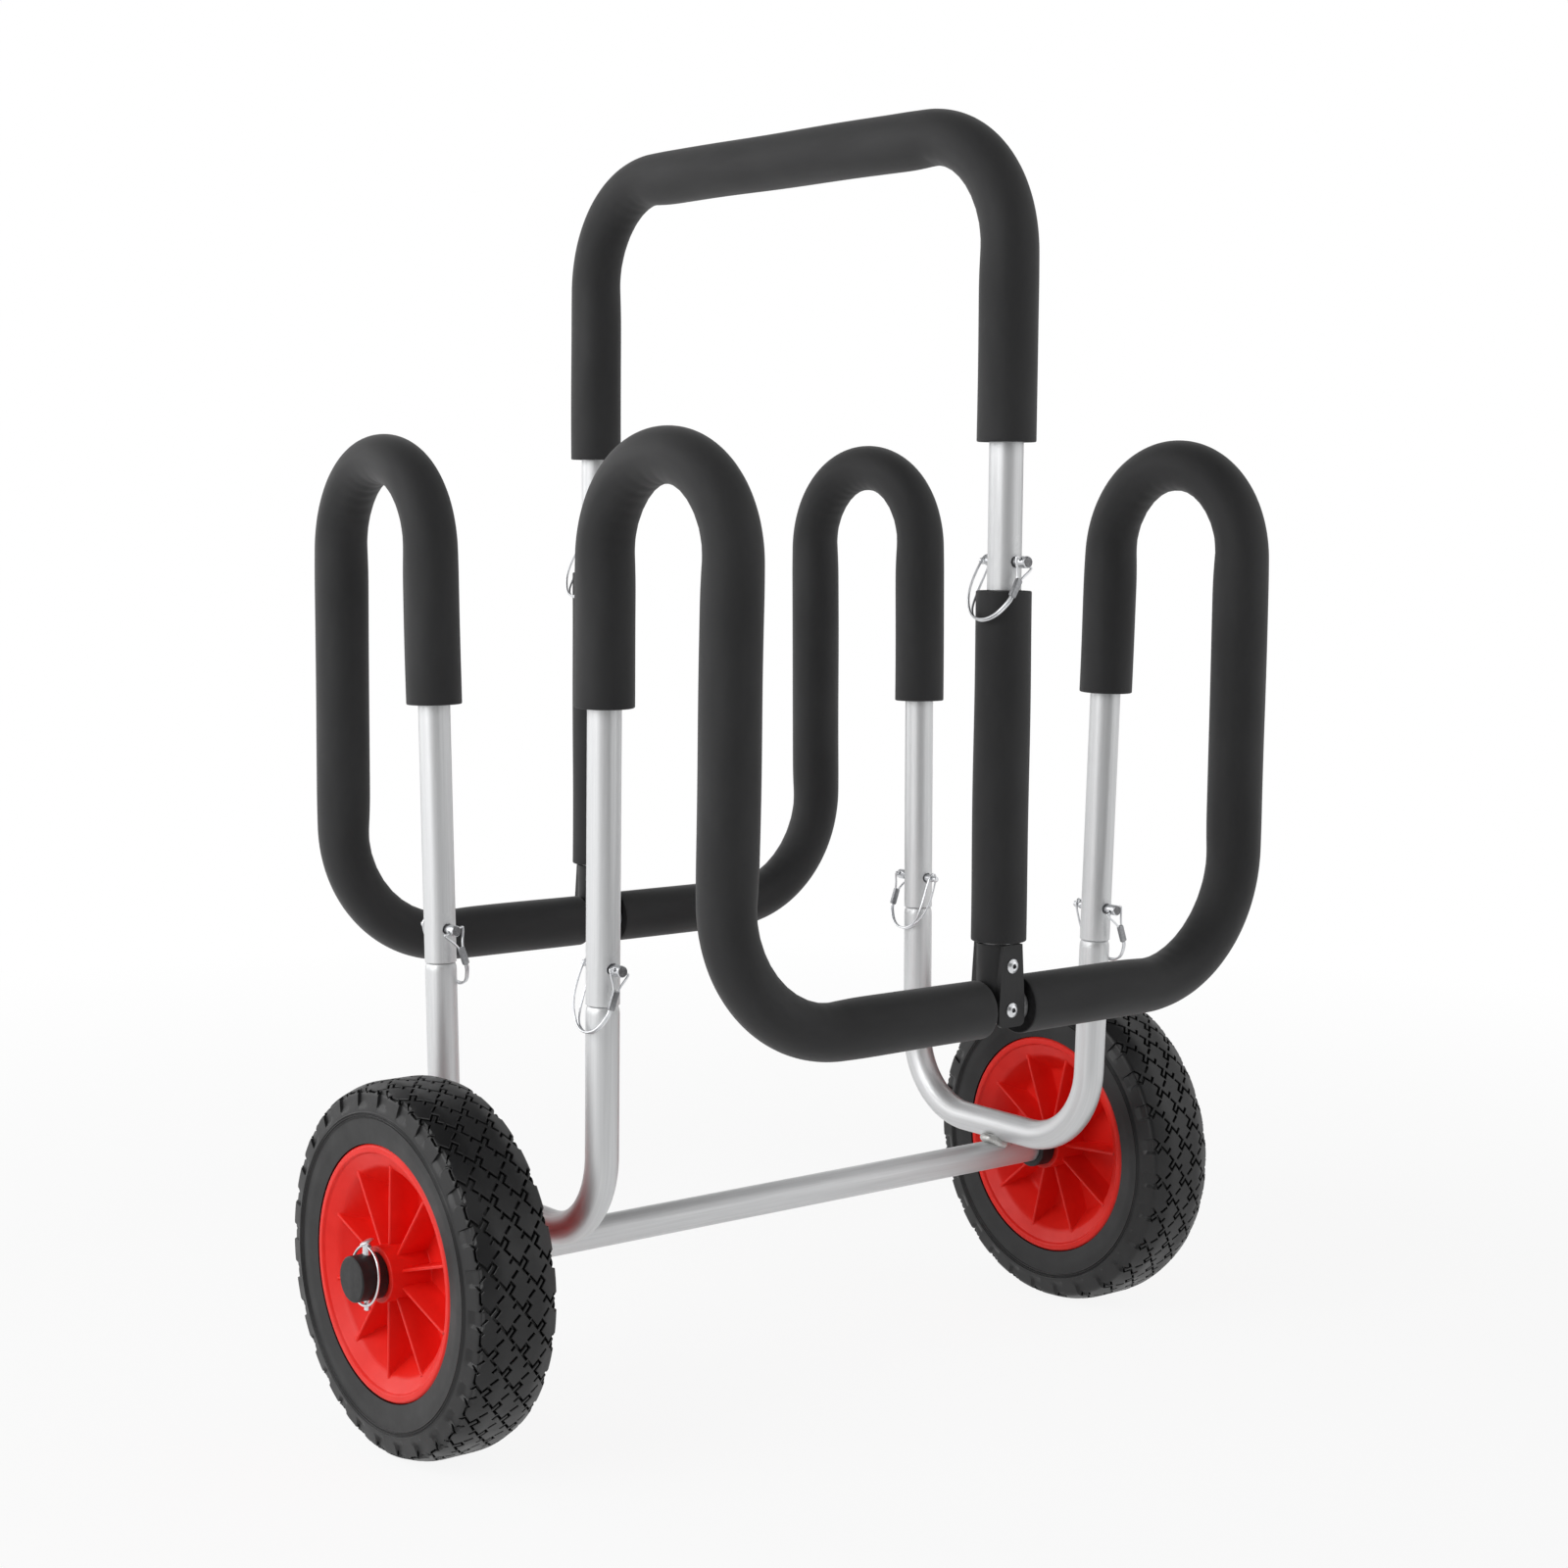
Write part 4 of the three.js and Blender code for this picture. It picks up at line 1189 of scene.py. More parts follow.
@dataclass
class TyreShape:
    """A solid tyre: smooth sidewalls with three fine rings, shoulder lugs, and a tread cut by stepped grooves.

    Its outline is (half width, radius, rounding). The grooves repeat on a lattice of blocks, in rows half a pitch
    apart. Each groove is a line of (round, across, depth): shares of half a pitch round the tyre and of one row
    across it, from a block's middle, and the share of the full depth. A groove's floor is groove_floor as wide as
    the slot under its flare, its cutter stands groove_rise over the tread, and it narrows to shallow_width where
    its depth runs out.
    """

    radius: float = 125.0
    outline: tuple[tuple[float, float, float], ...] = (
        (0.0, 125.0, 0.0), (16.0, 125.0, 25.0), (28.8, 120.2, 5.0), (30.9, 107.5, 12.0), (30.5, 95.5, 9.0),
        (29.1, 85.4, 0.0),
    )
    seat: tuple[tuple[float, float, float], ...] = (
        (25.7, 85.3, 0.0), (25.7, 77.8, 0.8), (12.0, 70.8, 1.0), (-12.0, 70.8, 1.0), (-25.7, 77.8, 0.8),
        (-25.7, 85.3, 0.0),
    )
    pitches: int = 28
    rows: int = 2
    row_width: float = 11.3
    phase: float = 0.82
    groove: float = 1.55
    flare: float = 0.4
    depth: float = 2.6
    stepped: tuple[tuple[float, float, float], ...] = (
        (0.68, 0.65, 1.0), (0.43, 0.39, 1.0), (0.80, 0.02, 1.0), (0.49, -0.29, 1.0), (0.70, -0.51, 1.0),
        (1.02, -0.17, 1.0), (1.31, -0.48, 1.0),
    )
    short_cut: tuple[tuple[float, float, float], ...] = ((1.03, 0.20, 1.0), (1.34, 0.62, 1.0))
    edge: tuple[tuple[float, float, float], ...] = (
        (-0.62, 1.46, 0.1), (-0.58, 1.1, 0.3), (-0.50, 0.74, 0.8), (-0.29, 0.46, 1.0), (-0.19, 0.58, 1.0),
        (0.25, 0.58, 1.0), (0.34, 0.48, 1.0),
    )
    notch: tuple[tuple[float, float, float], ...] = ((0.71, -0.53, 1.0), (0.66, -0.9, 0.4), (0.68, -1.42, 0.1))
    lug: tuple[float, float] = (-0.44, 0.68)
    lug_slope: tuple[float, float] = (0.16, 0.03)
    lug_relief: float = 1.7
    lug_start: float = 26.6
    lug_end: float = 40.5
    rings: tuple[float, ...] = (43.4, 45.0, 46.6)
    ring_height: float = 0.85
    ring_width: float = 0.38
    shallow_width: float = 0.4
    groove_rise: float = 1.2
    groove_floor: float = 0.85

    def __post_init__(self) -> None:
        """Works out the outline's points, their lengths from the crown's middle, and half a pitch."""
        self.half = rounded(self.outline, steps=10)
        self.run = np.concatenate([[0.0], np.cumsum(np.linalg.norm(np.diff(self.half, axis=0), axis=1))])
        self.half_pitch = math.pi * self.radius / self.pitches

    def surface(self, run: Grid, share: Grid, height: Grid) -> Grid:
        """Places on the tyre: the outline's point at a length from the crown, moved out by height and turned.

        Args:
            run: length from the crown's middle, negative on the far side.
            share: place round the tyre in half pitches.
            height: how far the place stands off the outline.

        Returns:
            The places, about the wheel's own middle.
        """
        length, angle = np.abs(run), (share + self.phase) * self.half_pitch / self.radius
        across, radius = (np.interp(length, self.run, self.half[:, k]) for k in (0, 1))
        ahead = [np.interp(length + 0.6, self.run, self.half[:, k]) for k in (0, 1)]
        back = [np.interp(np.maximum(length - 0.6, 0.0), self.run, self.half[:, k]) for k in (0, 1)]
        slope = np.hypot(ahead[0] - back[0], ahead[1] - back[1])
        across = (across + (back[1] - ahead[1]) / slope * height) * np.sign(run + 1e-9)
        radius = radius + (ahead[0] - back[0]) / slope * height
        return np.stack(np.broadcast_arrays(across, radius * np.sin(angle), radius * np.cos(angle)), axis=-1)

    def relief(self, run: Grid, share: Grid) -> Grid:
        """How far the shoulder lies under the lugs' tops between one lug and the next, as nought or less.

        Args:
            run: length from the crown's middle, negative on the far side, where the lugs point the other way.
            share: place round the tyre in half pitches.

        Returns:
            The heights.
        """
        place = (np.sign(run) * share + 1.0) % 2.0 - 1.0
        gentle, steep = self.lug_slope
        gap = (
            np.clip((self.lug[0] - place) / gentle, 0.0, 1.0) + np.clip((place - self.lug[1]) / steep, 0.0, 1.0)
        )
        rise = np.clip((np.abs(run) - self.lug_start) / 1.6, 0.0, 1.0)
        fade = np.clip((self.lug_end - np.abs(run)) / 4.5, 0.0, 1.0)
        return -self.lug_relief * gap * rise * fade

    def body(self) -> Patch:
        """The tyre's closed body before its grooves: lugs, sidewalls with rings, and the seat.

        Returns:
            The surface as a patch.
        """
        (low, high), (gentle, steep) = self.lug, self.lug_slope
        knots = np.array([-high - steep, -high, low - gentle, low, -low, gentle - low, high, high + steep,
                          2.0 - high - steep])
        counts = (1, 1, 1, 4, 1, 1, 1, 3)
        shares = np.concatenate([
            np.linspace(first, last, count, endpoint=False)
            for first, last, count in zip(knots[:-1], knots[1:], counts)
        ])
        shares = (shares[None] + 2.0 * np.arange(self.pitches)[:, None]).ravel()
        side = np.concatenate([
            np.arange(0.0, self.lug_start - 1.0, 2.6), np.linspace(self.lug_start, self.lug_end, 16),
            np.arange(self.rings[0] - 1.2, self.rings[-1] + 1.3, 0.24),
            np.linspace(self.rings[-1] + 3.0, self.run[-1], 8),
        ])
        runs = np.concatenate([-side[::-1], side[1:]])[:, None]
        rings = sum(np.exp(-((np.abs(runs) - place) / self.ring_width) ** 2) for place in self.rings)
        outside = self.surface(runs, shares[None], self.ring_height * rings + self.relief(runs, shares[None]))
        angles = (shares + self.phase) * self.half_pitch / self.radius
        seat = rounded(self.seat, steps=3)[:, :, None]
        across = np.repeat(seat[:, 0], len(angles), axis=1)
        under = np.stack([across, seat[:, 1] * np.sin(angles), seat[:, 1] * np.cos(angles)], axis=-1)
        return Patch(np.concatenate([outside, under]), closed_rows=True)

    def groove_patch(self, line: Sequence[tuple[float, float, float]], column: float, row: float) -> Patch:
        """One groove as a closed bar: a flared slot's section carried along a line with mitred corners.

        Args:
            line: the groove's corners from a block's middle.
            column: the block's place round the tyre, in half pitches.
            row: the block's place across the tyre, in rows.

        Returns:
            The bar's surface as a patch, its two ends drawn in to closed faces.
        """
        scale = np.array([self.half_pitch, self.row_width, 1.0])
        corners = (np.array(line) + np.array([column, row, 0.0])) * scale
        ways = unit(np.diff(corners[:, :2], axis=0))
        before, after = np.vstack([ways[:1], ways]), np.vstack([ways, ways[-1:]])
        mitre = unit(before + after)
        lean = np.sum(mitre * after, axis=1, keepdims=True)
        aside = np.stack([-mitre[:, 1], mitre[:, 0]], axis=1) / lean
        knots = np.arange(len(corners))
        places = np.linspace(0.0, knots[-1], 2 * knots[-1] + 1)
        middle, aside = (
            np.column_stack([np.interp(places, knots, values[:, k]) for k in range(values.shape[1])])
            for values in (corners, aside)
        )
        spread = np.concatenate([[0.0], np.ones(len(places)), [0.0]])[:, None]
        index = np.concatenate([[0], np.arange(len(places)), [len(places) - 1]])
        half = self.groove / 2.0
        offsets = np.array([half + self.flare, half + self.flare, half, self.groove_floor * half])
        aside = aside * (self.shallow_width + (1.0 - self.shallow_width) * middle[:, 2:])
        levels = np.array([self.groove_rise, 0.0, -self.flare, -self.depth])
        offsets, levels = np.concatenate([offsets, -offsets[::-1]]), np.concatenate([levels, levels[::-1]])
        aside, middle = aside[index] * spread, middle[index]
        run = middle[:, 1:2] + aside[:, 1:2] * offsets
        share = (middle[:, :1] + aside[:, :1] * offsets) / self.half_pitch
        height = np.where(levels < 0.0, levels * middle[:, 2:], levels)
        return Patch(self.surface(run, share, height))

    def grooves(self) -> list[list[Patch]]:
        """Every groove, in two sets whose bars don't cross within a set.

        Returns:
            The two sets of patches.
        """
        first, second = [], []
        for row in range(-self.rows, self.rows + 1):
            for column in range(row % 2, 2 * self.pitches, 2):
                first.append(self.groove_patch(self.stepped, column, row))
                first.append(self.groove_patch(self.short_cut, column, row))
                if row == self.rows:
                    second.append(self.groove_patch(self.edge, column, row))
                if row == -self.rows:
                    second.append(self.groove_patch(self.notch, column, row))
        return [first, second]

    def mesh(self) -> bpy.types.Mesh:
        """The whole tyre about its own middle, with its grooves cut, as one mesh.

        Returns:
            The mesh.
        """
        tyre = put("tyre", Piece("tyre", TYRE_RUBBER, [self.body()]).mesh())
        for bars in self.grooves():
            tool = put("grooves", Piece("grooves", TYRE_RUBBER, bars).mesh())
            carve(tyre, [tool], Shaping.CUT, Solver.FAST)
        mesh = tyre.data
        bpy.data.objects.remove(tyre)
        lie_on_itself(mesh)
        return mesh


@dataclass
class RimShape:
    """A moulded rim: flanges, a dished bowl on each side of the web, ten thin ribs a side and a hub."""

    radius: float = 85.0
    half: float = 29.3
    lip: float = 6.0
    web: float = 2.5
    bowl_floor: float = 58.0
    hub: float = 18.75
    hub_half: float = 32.0
    bore: float = 11.6
    ribs: int = 10
    rib_thickness: float = 2.4
    rib_height: float = 24.0
    rib_end: float = 72.0
    sides: int = 144

    def bowl(self) -> list[tuple[float, float, float]]:
        """The bowl's outline from hub to flange on the +X side, as (place along X, radius, rounding)."""
        edge = self.radius - self.lip
        return [
            (self.web, self.hub, 1.2), (self.web, self.bowl_floor - 1.0, 5.0), (22.0, 69.5, 10.0),
            (self.half - 2.0, edge - 0.4, 0.5),
        ]

    def body(self) -> Patch:
        """The lathed body of the rim.

        Returns:
            The surface as a patch.
        """
        edge = self.radius - self.lip
        half = [
            (self.hub_half, self.bore, 0.5), (self.hub_half, self.hub, 1.0), *self.bowl(),
            (self.half, edge + 0.9, 1.4), (self.half, self.radius - 1.6, 1.8), (self.half - 1.4, self.radius, 1.2),
            (26.0, self.radius, 0.5), (26.0, 77.5, 0.8), (12.0, 70.5, 1.5),
        ]
        other = [(-along, radius, rounding) for along, radius, rounding in half[::-1]]
        outline = rounded(half + other, closed=True, steps=6)
        return swept(X_LINE, outline, self.sides, closed=True)

    def rib(self, side: Side, turn: float) -> Patch:
        """One thin rib with drafted sides, a rounded edge and a fillet at its root.

        At each radius the section stands from the bowl's surface f to the edge t: the foot spreads out below
        f plus a fillet, the sides lean in, and the edge is a half round.

        Args:
            side: which face of the web it stands on.
            turn: its angle about the axle.

        Returns:
            The surface as a patch.
        """
        radii = np.linspace(self.hub - 2.0, self.rib_end, 40)
        floor_line = rounded(self.bowl(), steps=8)
        order = np.argsort(floor_line[:, 1])
        floor = np.interp(radii, floor_line[order, 1], floor_line[order, 0])
        top = np.full(len(radii), self.rib_height)
        room = np.maximum(top - floor, 0.02)
        wide = np.array([0.6, 0.28, 0.1, 0.0, -0.12, -0.28, -0.7]) + self.rib_thickness / 2.0
        lift = np.array([-0.4, 0.3, 0.9, 0.0, 0.0, 0.0, 0.0])
        drop = np.array([0.0, 0.0, 0.0, 0.0, 0.9, 0.42, 0.08])
        rising = np.minimum(floor[:, None] + lift[None], floor[:, None] + 0.4 * room[:, None])
        falling = np.maximum(top[:, None] - drop[None], floor[:, None] + 0.6 * room[:, None])
        heights = np.where(np.arange(7)[None] < 3, rising, falling)
        heights[:, 3] = (heights[:, 2] + heights[:, 4]) / 2.0
        heights[:, 0] = floor - 0.4
        across = np.concatenate([-wide, [0.0], wide[::-1]])
        levels = np.concatenate([heights, top[:, None], heights[:, ::-1]], axis=1)
        across = np.broadcast_to(across, levels.shape)
        reach = np.broadcast_to(radii[:, None], levels.shape)
        x = side.value * levels
        y = across * math.cos(turn) + reach * math.sin(turn)
        z = reach * math.cos(turn) - across * math.sin(turn)
        return Patch(np.stack([x, y, z], axis=-1), closed_columns=False)

    def patches(self) -> list[Patch]:
        """The body and every rib."""
        return [self.body()] + [self.rib(side, turn) for side in Side for turn in turns(self.ribs)]


@dataclass
class AxleEnd:
    """What sits on one end of the axle: collar, wheel, cap, and the wheel pin with its ring."""

    side: Side
    tyre: bpy.types.Mesh
    cart: Cart = CART
    track: float = 600.0
    hub_outer: float = 332.0
    running_gap: float = 0.5
    cap_length: float = 19.3
    cap: float = 15.25
    collar: float = 15.5
    collar_length: float = 13.0
    cap_end_wall: float = 2.5
    pin_height: float = 126.0
    pin_half: float = 23.5
    ring_radius: float = 19.5
    ring_width_share: float = 0.92
    ring_wire: float = 0.9
    turns: tuple[float, float] = (-1.8, 13.9)

    def placing(self) -> Matrix:
        """From the wheel's own middle to its place on the axle."""
        spot = Vector((self.side.value * self.track / 2.0, 0.0, self.cart.axle_height)) * MM
        about = Matrix.Rotation(0.0 if self.side is Side.RIGHT else math.pi, 4, "Z")
        turn = math.radians(self.turns[0] if self.side is Side.LEFT else self.turns[1])
        return Matrix.Translation(spot) @ about @ Matrix.Rotation(turn, 4, "X")

    def wheel(self) -> None:
        """The tyre and the rim, on the wheel's body."""
        word = self.side.word
        mesh = self.tyre.copy()
        mesh.transform(self.placing())
        tyre = put(f"tyre_tread_{word}", mesh)
        Piece(tyre.name, TYRE_RUBBER, [], f"wheel_{word}", (f"tyre_{word}",), crease=32.0).dress(tyre)
        Piece(f"rim_moulding_{word}", RED_PP, RimShape().patches(), f"wheel_{word}", (f"rim_{word}",),
              crease=40.0, placing=self.placing()).build()

    def turned(self, name: str, node: str, outline: Sequence[tuple],
               cutters: Sequence[bpy.types.Object] = ()) -> None:
        """A black moulded ring or cap about the axle.

        Args:
            name: the piece's name.
            node: the CAD node it stands for.
            outline: (distance out along X, radius, rounding) for each corner, closed where it starts off the axis.
            cutters: what cuts holes in it.
        """
        height, is_ring = self.cart.axle_height, outline[0][1] > 0.0
        axis = straight((0.0, 0.0, height), (self.side.value, 0.0, height), (0.0, 0.0, 1.0))
        patch = swept(axis, rounded(outline, closed=is_ring), 64, closed=is_ring)
        Piece(name, BLACK_NYLON, [patch], nodes=(node,), cutters=list(cutters)).build()

    def fittings(self) -> None:
        """The collar inside the wheel and the cap outside it, with the pin's hole through the cap."""
        cart, word = self.cart, self.side.word
        bore = cart.tube + cart.seat_gap
        inner = self.track - self.hub_outer - self.running_gap
        start = inner - self.collar_length
        self.turned(f"collar_{word}", f"axle_collar_{word}", [
            (start, bore, 0.4), (start, self.collar, 1.0), (inner, self.collar, 0.8), (inner, bore, 0.4),
        ])
        start = self.hub_outer + self.running_gap
        end = start + self.cap_length
        floor = end - self.cap_end_wall
        spot = np.array([self.side.value * cart.wheel_pin_x, 0.0, cart.axle_height])
        pin_hole = hole(spot, (0.0, 0.0, self.cap + OVERCUT), cart.pin_hole)
        self.turned(f"cap_{word}", f"axle_cap_{word}", [
            (floor, 0.0, 0.0), (floor, bore, 0.0), (start, bore, 0.3), (start, self.cap, 0.6),
            (end - 1.0, self.cap, 0.6), (end, self.cap - 0.9, 0.5), (end, 0.0, 0.0),
        ], [pin_hole])

    def ring(self) -> None:
        """The wire ring round the cap. Its two ends pass each other at the head, one through the cross hole."""
        word, out = self.side.word, self.side.value
        hinge = self.pin_height + self.pin_half - 4.0
        angle = np.linspace(-0.24, FULL_TURN + 0.12, 110)
        drift = np.linspace(-1.3, 0.9, 110)
        stand_off = 2.2 + self.ring_wire + 0.3
        lean = stand_off * (1.0 - np.cos(angle)) / 2.0
        points = np.column_stack([
            out * (self.cart.wheel_pin_x + lean + drift * np.exp(-((1.0 - np.cos(angle)) / 0.25))),
            self.ring_radius * self.ring_width_share * np.sin(angle),
            hinge - self.ring_radius + self.ring_radius * np.cos(angle),
        ])
        Piece(f"ring_{word}", ZINC, [wire(points, self.ring_wire)], f"pin_ring_{word}",
              (f"wheel_pin_ring_{word}",)).build()

    def build(self) -> None:
        """Makes everything on this end of the axle."""
        self.wheel()
        self.fittings()
        self.ring()


# Pins


@dataclass
class LockPin:
    """A steel pin laid along X with its head at -X, and its spring-wire bail with the crimp.

    shares gives the bail's line, along as a share of half and down as a share of bail_depth. slant tips the end
    of a wheel pin's head along slant_way. crimp_half is half the crimp's thickness and width, and crimp_square
    how square its section is.
    """

    half: float = 22.4
    shank: float = 3.0
    head: float = 3.9
    head_length: float = 8.0
    tip: float = 2.2
    tip_length: float = 6.0
    cross_hole: float = 1.35
    crease: float = 38.0
    wire_radius: float = 0.8
    slant: float = 0.4
    slant_way: tuple[float, float] = (0.78, 0.62)
    bail_depth: float = 44.0
    base_half: float = 8.0
    spread: float = 0.9
    crimp_start: float = 12.5
    crimp_length: float = 13.0
    crimp_half: tuple[float, float] = (1.5, 2.45)
    crimp_square: float = 5.0
    face_stand_off: float = 0.16
    face_rings: tuple[float, float] = (0.09, 5.2)
    face_notches: tuple[float, float] = (0.05, 12.0)
    shares: tuple[tuple[float, float], ...] = (
        (-0.93, 0.34), (-0.92, 0.66), (-0.58, 0.92), (-0.02, 1.0), (0.5, 0.88), (0.79, 0.54), (0.78, 0.0),
    )

    def pin_body(self, domed: bool = False) -> Patch:
        """The pin's turned body.

        Args:
            domed: whether the head is a flat mushroom, as on the wheel pins.

        Returns:
            The surface as a patch.
        """
        half, head = self.half, self.head
        shoulder = self.head_length - half
        top = [
            (-half, 0.0, 0.0), (-half, head - 0.9, 0.3), (-half + 0.9, head, 0.4), (shoulder, head, 0.5),
        ]
        if domed:
            top = [
                (-half, 0.0, 0.0), (-half + 0.1, 3.0, 1.0), (-half + 0.9, head + 0.8, 0.5),
                (-half + 1.6, head + 0.7, 0.4), (-half + 1.8, 2.9, 0.3), (shoulder, 2.9, 0.3),
            ]
        corners = [
            *top, (shoulder, self.shank, 0.2), (half - self.tip_length, self.shank, 0.4),
            (half - self.tip_length, self.tip, 0.3), (half - 0.4, self.tip, 0.5), (half, self.tip - 0.6, 0.3),
            (half, 0.0, 0.0),
        ]
        rows = rounded(corners, steps=3)
        turned = swept(X_LINE, rows, 32)
        if domed:
            high = np.clip((shoulder - 2.0 - turned.points[..., 0]) / 3.0, 0.0, 1.0)
            upward, aside = self.slant_way
            lean = upward * turned.points[..., 2] - aside * turned.points[..., 1]
            turned.points[..., 0] -= self.slant * high * lean
        return turned

    def end_face(self) -> Patch:
        """A shallow knurled disc on the head's end: its face waves with the radius and round it."""
        radii, angles = np.linspace(0.0, self.head - 0.6, 12)[:, None], turns(36)
        (ring, rate), (notch, count) = self.face_rings, self.face_notches
        wave = ring * np.sin(radii * rate) + notch * np.sin(angles * count)[None] * (radii / self.head)
        x = -self.half - self.face_stand_off - wave * (radii > 0.1)
        points = np.stack([x, radii * np.sin(angles), radii * np.cos(angles)], axis=-1)
        skirt = points[-1:] + np.array([0.5, 0.0, 0.0])
        return Patch(np.concatenate([points, skirt]))

    def bail_line(self) -> Grid:
        """The wire's line: from the crimp through the head, back to the crimp, round under and over the tip."""
        half, spread, depth = self.half, self.spread, self.bail_depth
        base = self.head_length / 2.0 - half
        along = half * self.shares[0][0]
        end = self.crimp_start + self.crimp_length
        loop = self.tip + 0.3 + 1.4
        arc = [(half * a, depth * d) for a, d in self.shares[1:]]
        snap = arc[-1][0]
        near = [(a, -spread, -d) for a, d in arc[:-2]]
        far = [(a, spread, -d) for a, d in arc[:-2][::-1]]
        line = [
            (along, spread, -end + 4.0), (along, spread, -self.crimp_start), (base, self.base_half, -0.8),
            (base, self.base_half - 1.2, 0.0), (base, -self.base_half + 1.2, 0.0), (base, -self.base_half, -0.8),
            (along, -spread, -self.crimp_start), (along, -spread, -end + 1.0), *near,
            (arc[-2][0], -loop, -arc[-2][1]), (snap, -loop, 0.0), (snap, -spread - 0.3, 4.0),
            (snap, spread + 0.3, 4.0), (snap, loop, 0.0), (arc[-2][0], loop, -arc[-2][1]), *far,
            (along, spread, -end + 1.0),
        ]
        return np.array(line)

    def bail_wire(self) -> Patch:
        """The bail's wire, smoothed."""
        line = self.bail_line()
        points = np.concatenate([smoothed(line[:9], 2)[:-2], smoothed(line[7:], 3)[2:]])
        keep = np.concatenate([[True], np.linalg.norm(np.diff(points, axis=0), axis=1) > 0.15])
        return wire(points[keep], self.wire_radius)

    def crimp(self) -> Patch:
        """The flat sleeve pressed on the two strands of the bail's wire."""
        along = self.half * self.shares[0][0]
        low, high = -self.crimp_start - self.crimp_length, -self.crimp_start
        crimp = straight((along, 0.0, low), (along, 0.0, high))
        rows = np.array([
            [0.0, 0.02], [0.0, 0.72], [0.5, 0.95], [1.2, 1.0], [self.crimp_length - 1.2, 1.0],
            [self.crimp_length - 0.5, 0.95], [self.crimp_length, 0.72], [self.crimp_length, 0.02],
        ])

        def flatten(_: Stations, angles: Grid, radii: Grid) -> Grid:
            """Squares the round section off with rounded corners, as a superellipse of the crimp's two halves."""
            (thick, broad), power = self.crimp_half, self.crimp_square
            wide = (np.abs(np.cos(angles)) / thick) ** power + (np.abs(np.sin(angles)) / broad) ** power
            return radii * wide[None] ** (-1.0 / power)

        return swept(crimp, rows, 40, warp=flatten)

    def placing(self, place: Grid, head_end: int, bail_side: int, tilt: float) -> Matrix:
        """Turns a pin made along X to lie along Y at its place, with its bail leaning to one side."""
        across = Matrix.Rotation(-head_end * math.pi / 2.0, 4, "Z")
        lean = Matrix.Rotation(-bail_side * tilt, 4, "Y")
        return Matrix.Translation(Vector(place) * MM) @ lean @ across

    def wire_hole(self, lie: Matrix) -> bpy.types.Object:
        """Makes the cutter of the cross hole through the head.

        Args:
            lie: where the pin lies.

        Returns:
            The cutter.
        """
        tool = hole(np.array([self.head_length / 2.0 - self.half, 0.0, 0.0]), (0.0, 2.0 * OVERCUT, 0.0),
                    self.cross_hole, 20)
        tool.data.transform(lie)
        return tool

    def make(self, name: str, place: Grid, head_end: int, bail_side: int, tilt: float) -> None:
        """One frame pin with its bail.

        Args:
            name: the pin's place on the cart.
            place: the middle of the pin.
            head_end: the way the head points along Y.
            bail_side: the side along X that the bail leans to.
            tilt: how far it leans, in degrees.
        """
        lie = self.placing(place, head_end, bail_side, math.radians(tilt))
        Piece(f"pin_{name}", ZINC, [self.pin_body()], f"pin_{name}", (f"lock_pin_{name}",), self.crease,
              cutters=[self.wire_hole(lie)], placing=lie).build()
        Piece(f"pin_face_{name}", DARK_STEEL_AND_PIT_SHADE, [self.end_face()], f"pin_{name}", placing=lie).build()
        Piece(f"wire_bail_{name}", ZINC, [self.bail_wire()], f"bail_{name}", (f"bail_{name}",),
              placing=lie).build()
        Piece(f"bail_crimp_{name}", PRESSED_STEEL, [self.crimp()], f"bail_{name}", placing=lie).build()

    def make_wheel_pin(self, side: Side, x: float, height: float) -> None:
        """An upright wheel pin with a mushroom head and a cross hole for its ring."""
        spot = Vector((side.value * x, 0.0, height)) * MM
        lie = Matrix.Translation(spot) @ Matrix.Rotation(math.pi / 2.0, 4, "Y")
        Piece(f"axle_pin_{side.word}", ZINC, [self.pin_body(True)], nodes=(f"wheel_pin_{side.word}",),
              crease=self.crease, cutters=[self.wire_hole(lie)], placing=lie).build()


@dataclass
class FramePins:
    """The six lock pins of the racks and the handle."""

    cart: Cart = CART
    tube_tilt: float = 19.6
    foam_tilt: float = 30.3

    def build(self) -> None:
        """Makes every pin: name, place, the way its head points and the side its bail leans to."""
        cart, pin = self.cart, LockPin()
        rack = [
            ("front_left", Side.LEFT, End.FRONT, -1, -1), ("rear_left", Side.LEFT, End.REAR, -1, 1),
            ("front_right", Side.RIGHT, End.FRONT, -1, 1), ("rear_right", Side.RIGHT, End.REAR, 1, -1),
        ]
        for name, side, end, head_end, bail_side in rack:
            pin.make(name, cart.arm(side, end, cart.rack_pin), head_end, bail_side, self.tube_tilt)
        for end in End:
            pin.make(f"handle_{end.word}", cart.post(end, cart.handle_pin), -1, -1, self.foam_tilt)


# Brackets


